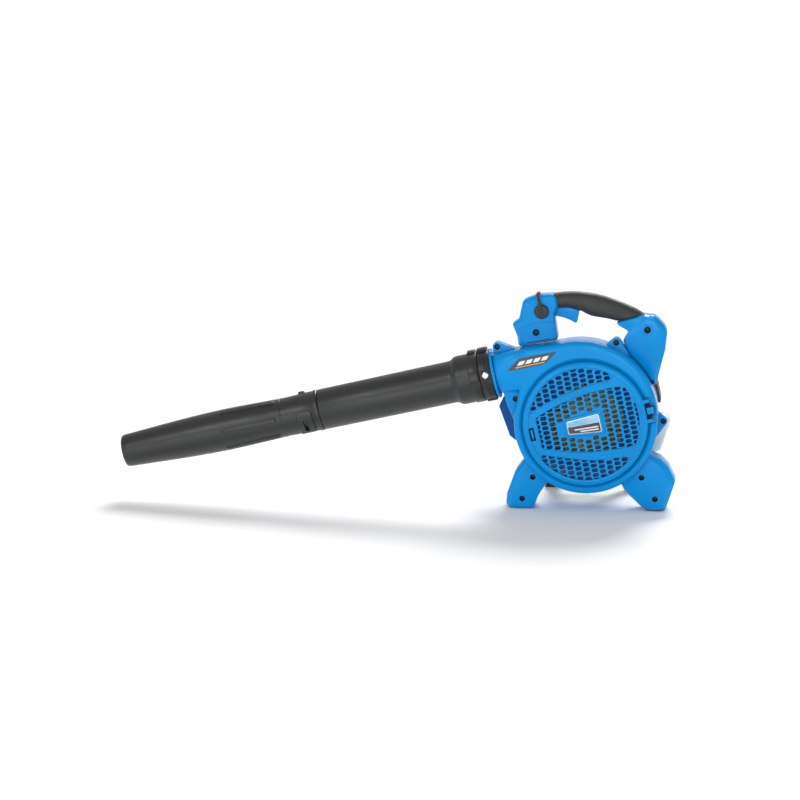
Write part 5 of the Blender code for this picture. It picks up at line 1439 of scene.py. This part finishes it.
def add_fuel_system():
    outline = rounded([(-64, -42), (56, -42), (84, -28), (126, -26.5), (136.4, -37), (108.5, -84),
                       (94, -87), (-50, -87), (-64, -76)], 8, 6)
    tank = prism(outline, 46.0, 97.0, 5.0, 5.0, 6)
    seam = prism(inset(outline, -0.5), 70.6, 72.2, 0.5, 0.5)
    neck = turned([(96, 0), (96, 11.5), (103.8, 11.5), (103.8, 0)], "Y", FILLER, 48)
    piece("tank_body", join(tank, seam, neck), FAN, "tank_plastic", "housing", ["fuel_tank"])

    knurls = []
    for k in range(72):
        radius = 17.4 if k % 3 else 16.2
        x, z = polar(radius, 5.0 * k)
        knurls.append((FILLER[0] + x, FILLER[2] + z))
    cap = join(turned([(104.6, 0), (104.6, 12.0), (99.0, 12.6), (98.4, 15.5), (109, 15.5), (109, 0)],
                      "Y", FILLER, 64), prism(knurls, 98.4, 110.4, 0.8, 1.4))
    cap = join(cap, turned([(109, 0), (109, 13.5), (112.2, 13.0), (112.8, 12.2), (112.8, 10.4),
                            (111.6, 9.6), (111.4, 0)], "Y", FILLER, 64))
    piece("tank_cap_moulding", cap, FAN, "black_plastic", "tank_cap", ["fuel_cap"])

    side = [(50, -2), (106, -2), (106, 62), (50, 62)]
    case = side_profile(rounded(side, 7, 6), [(76.0, 2.0), (76.6, 0.8), (78.0, 0.0), (97.0, 0.0),
                                              (97.8, 0.8), (98.8, 0.8), (99.6, 0.0), (119.5, 0.0)])
    case = cut(case, side_profile(rounded(inset(side, 3.0), 5, 5), [(79.0, 0.0), (121.0, 0.0)]))
    case = cut(case, cylinder("X", INTAKE, 7.0, 70, 85, 40))
    tube_end = turned([(70.4, 7.0), (77, 7.0), (77, 10.0), (70.4, 10.0)], "X", INTAKE, 40, True)
    piece("air_box_moulding", join(case, tube_end), FAN, "case_grey", "housing",
          ["air_cleaner_case"])
    lid = side_profile(rounded(side, 7, 6), [(120.0, 0.0), (123.4, 0.0), (124.8, 0.5), (125.7, 1.4),
                                             (126.0, 2.6)])
    panel = side_profile(rounded(inset(side, 8.0), 4, 5), [(125.2, 0.0), (127.0, 0.0)])
    barrel = turned([(52, 0), (52, 1.9), (52.5, 2.4), (103.5, 2.4), (104, 1.9), (104, 0)], "Y",
                    (123, 0, -2.6), 24)
    ribs = [soft_box((124.6, 62, 8 + 9 * k), (125.9, 94, 11.5 + 9 * k), 0.5) for k in range(5)]
    piece("air_box_lid", merged([cut(join(lid, barrel), panel)] + ribs), FAN, "black_plastic",
          "filter_lid", ["air_cleaner_cover"])


PULL_ANGLE = 118.0
REEL_RADIUS = 32.0


def rope_exit():
    """Where the rope crosses the wall of the starter case."""
    x, z = polar(REEL_RADIUS, PULL_ANGLE - 90.0)
    dx, dz = polar(math.sqrt(60.5 ** 2 - REEL_RADIUS ** 2), PULL_ANGLE)
    return Vector((x + dx, 134.0, z + dz))


def pull_point(distance):
    dx, dz = polar(distance, PULL_ANGLE)
    return rope_exit() + Vector((dx, 0, dz))


def along_pull(profile, segments=24):
    """Turned piece whose axis is the pull direction, from stations past the rope's exit."""
    bm = turned(profile, "X", (0, 0, 0), segments)
    bm.transform(Matrix.Translation(rope_exit())
                 @ Matrix.Rotation(-math.radians(PULL_ANGLE), 4, "Y"))
    return bm


def add_starter():
    profile = [(147.4, 0), (147.4, 47), (139, 57.8), (100.4, 59.0), (100.4, 61.6), (101.0, 62.0),
               (106.0, 61.8), (106.6, 61.2), (108.0, 61.2), (108.6, 61.7), (138.0, 60.6),
               (142.5, 58.6), (146.2, 55.0), (148.8, 51.0), (149.7, 47.6), (149.9, 46.0),
               (148.9, 45.2), (148.9, 24.0), (149.8, 23.2), (150.0, 21.0), (150.0, 8.0),
               (149.0, 7.0), (149.0, 0)]
    case = turned(profile, segments=120)
    slots = spun(lambda: prism(rounded([(26.5, -2.4), (43.5, -3.6), (43.5, 3.6), (26.5, 2.4)], 2.0, 4),
                               144, 154), 12)
    fins = spun(lambda: prism(rounded([(56.0, -1.6), (66.0, -1.6), (66.0, 1.6), (56.0, 1.6)], 1.4, 4),
                              110.0, 128.0), 36)
    case = cut(case, slots)
    case = join(case, turned([(124, 0), (124, 6.0), (148, 6.0), (148, 0)], segments=32))
    groove = cut(fins, turned([(100, 0), (100, 60.2), (135, 59.6), (135, 0)], segments=96))
    case = cut(case, groove, cylinder("Z", (0, 107, 0), 6.0, 50, 70, 32))
    case = cut(case, along_pull([(-12, 2.6), (14, 2.6)]))
    eye = along_pull([(-1.5, 0), (-1.5, 5.2), (1.6, 5.2), (2.6, 4.4), (2.6, 0)], 40)
    case = join(case, cut(eye, along_pull([(-12, 2.6), (14, 2.6)])))
    piece("starter_case_moulding", case, FAN, "black_plastic", "housing", ["starter_case"])

    stem = along_pull([(12.0, 0), (12.0, 3.0), (12.6, 3.6), (18.0, 3.8), (20.5, 5.2), (20.5, 0)], 32)
    bar = turned([(-21, 0), (-21, 3.6), (-20.4, 4.8), (-19, 5.6), (-12, 6.0), (-6, 5.6), (0, 5.8),
                  (6, 5.6), (12, 6.0), (19, 5.6), (20.4, 4.8), (21, 3.6), (21, 0)], "Y",
                 segments=36)
    bar.transform(Matrix.Translation(pull_point(22.0)))
    piece("starter_grip", join(stem, bar), FAN, "black_plastic", "starter_pull_body",
          ["starter_handle"])

    twist = [(-26 + 37.6 * k / 76, 1.8 if k % 2 else 1.62) for k in range(77)]
    rope = along_pull([(-26, 0)] + twist + [(11.6, 0)], 16)
    mesh = bpy.data.meshes.new("starter_cord")
    rope.transform(FAN)
    rope.to_mesh(mesh)
    rope.free()
    mesh.shade_smooth()
    mesh.materials.append(MATERIALS["soft_rubber"])
    obj = bpy.data.objects.new("starter_cord", mesh)
    bpy.context.scene.collection.objects.link(obj)
    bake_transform(obj)
    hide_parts("starter_rope")


def add_rear_stand():
    outline = arc((0, 0), 62.8, 212.0, 328.0, 48) + arc((0, 0), 69.0, 328.0, 212.0, 48)
    cradle = prism(outline, 110.0, 146.0, 1.4, 1.4)
    legs = []
    for side, reach in ((-1, 66.0), (1, 84.0)):
        rings = []
        for x, half, y0, y1, z in ((side * 38.0, 12, 116, 144, -60), (side * 52.0, 12, 140, 160, -104),
                                   (side * reach, 13, 166, 180, -144),
                                   (side * reach, 13, 166, 187, -149)):
            section = rounded([(x - half, y0), (x + half, y0), (x + half, y1), (x - half, y1)], 2.5, 4)
            rings.append([(px, py, z) for px, py in section])
        legs.append(loft(rings))
    brace = soft_box((-50, 140, -104), (50, 152, -94), 2.5)
    piece("stand_moulding", join(cradle, *legs, brace), LEVEL, "black_plastic", "housing",
          ["rear_stand"])


BLADES = 10


def add_fan_wheel():
    """Backing plate with swept blades and a hub cone."""
    bore = 5.3
    hub = turned([(-10, bore), (20, bore), (20, 16), (18.6, 60), (17.5, 98), (14.8, 98), (9.4, 78),
                  (4.0, 56), (-2.5, 40), (-8.6, 25), (-10, 22)], segments=96, closed=True)
    blades = []
    for k in range(BLADES):
        inner = []
        outer = []
        for j in range(10):
            t = j / 9
            radius = 30 + 67 * t
            angle = 360.0 / BLADES * k + 34.0 * t * t
            inner.append(polar(radius, angle))
            outer.append(polar(radius, angle + 110.0 / radius))
        blades.append(prism(inner + outer[::-1], -24, 15, 0.7, 0.0))
    piece("fan_wheel", merged([hub] + blades), FAN, "fan_plastic", "crank", ["impeller"])


def add_kept_nodes():
    """CAD nodes that are shown as they are, with their finish and softened edges."""
    shown = [node for node, obj in frame["nodes"].items() if not obj.hide_render]
    for node in sorted(shown):
        keep(node)


# ---------------------------------------------------------------- assembly
add_fan_case()
add_screws()
add_side_label()
add_inlet_door()
add_hinge()
add_blow_pipe()
add_handle()
add_grip()
add_covers()
add_fuel_system()
add_starter()
add_rear_stand()
add_fan_wheel()
add_kept_nodes()


# ---------------------------------------------------------------- floor, light and camera
def floor_material():
    s = Surface("studio_paper")
    s.colour(s.blend(s.spread(s.noise(3.0, 4.0), 0.0, 1.0), (0.88, 0.88, 0.885), (0.91, 0.91, 0.915)))
    s.roughness(s.spread(s.noise(60.0, 4.0), 0.7, 0.9))
    s.relief([(s.noise(400.0, 3.0), 0.00003)], 0.0005)
    s.set("Emission Color", (1.0, 1.0, 1.0, 1.0))
    s.set("Emission Strength", 0.05)
    return s.material


def add_floor():
    bm = bmesh.new()
    bmesh.ops.create_grid(bm, x_segments=24, y_segments=24, size=9.0)
    mesh = bpy.data.meshes.new("floor")
    bm.to_mesh(mesh)
    bm.free()
    mesh.materials.append(floor_material())
    obj = bpy.data.objects.new("floor", mesh)
    bpy.context.scene.collection.objects.link(obj)
    obj.location.z = -0.0002


AREA_LIGHTS = [
    # name, place, point it faces, width, height in metres, watts
    ("key", (-1.3, -2.3, 1.7), (0.0, 0.0, 0.15), 0.9, 0.7, 12.0),
    ("card", (0.63, -3.0, 0.5), (0.32, -0.07, 0.2), 0.5, 0.35, 7.0),
    ("strip", (-0.7, -3.0, 0.4), (-0.1, -0.07, 0.17), 1.6, 0.5, 7.5),
]
SUN_STRENGTH = 2.6
CAMERA_DISTANCE = 4.2
# middle of the view, right of and above the fan's centre, in metres
CAMERA_SHIFT = (-0.3133, 0.0328)


def area_light(name, place, target, width, height, power):
    light = bpy.data.lights.new(name, "AREA")
    light.shape = "RECTANGLE"
    light.size = width
    light.size_y = height
    light.energy = power
    obj = bpy.data.objects.new(name, light)
    obj.location = place
    obj.rotation_euler = (Vector(target) - Vector(place)).to_track_quat("-Z", "Y").to_euler()
    bpy.context.scene.collection.objects.link(obj)


def add_sun():
    """Soft light from above and behind, which lays the shadows towards the camera."""
    light = bpy.data.lights.new("sun", "SUN")
    light.energy = SUN_STRENGTH
    light.angle = math.radians(22.0)
    obj = bpy.data.objects.new("sun", light)
    obj.rotation_euler = Vector((-0.1, -0.75, -0.62)).to_track_quat("-Z", "Y").to_euler()
    bpy.context.scene.collection.objects.link(obj)


def add_world():
    world = bpy.data.worlds.new("studio")
    world.use_nodes = True
    nodes = world.node_tree.nodes
    links = world.node_tree.links
    place = nodes.new("ShaderNodeTexCoord")
    split = nodes.new("ShaderNodeSeparateXYZ")
    ramp = nodes.new("ShaderNodeMapRange")
    ramp.inputs["From Min"].default_value = 0.0
    ramp.inputs["From Max"].default_value = 0.45
    ramp.inputs["To Min"].default_value = 1.05
    ramp.inputs["To Max"].default_value = 0.5
    nodes["Background"].inputs["Color"].default_value = (1.0, 1.0, 1.0, 1.0)
    links.new(place.outputs["Generated"], split.inputs["Vector"])
    links.new(split.outputs["Z"], ramp.inputs["Value"])
    links.new(ramp.outputs["Result"], nodes["Background"].inputs["Strength"])
    bpy.context.scene.world = world


def add_camera():
    right = Vector((0.99255, 0.12187, 0.0))
    up = Vector((-0.01906, 0.15527, 0.98769))
    ahead = Vector((-0.12037, 0.98033, -0.15643))
    camera = bpy.data.objects.new("camera", bpy.data.cameras.new("camera"))
    camera.data.lens = 112.5
    camera.data.sensor_width = 36.0
    matrix = Matrix((right, up, -ahead)).transposed().to_4x4()
    matrix.translation = (FAN_CENTRE + right * CAMERA_SHIFT[0] + up * CAMERA_SHIFT[1]
                          - ahead * CAMERA_DISTANCE)
    camera.matrix_world = matrix
    bpy.context.scene.collection.objects.link(camera)
    bpy.context.scene.camera = camera


add_floor()
for row in AREA_LIGHTS:
    area_light(*row)
add_sun()
add_world()
bpy.context.scene.view_settings.view_transform = "Standard"
add_camera()
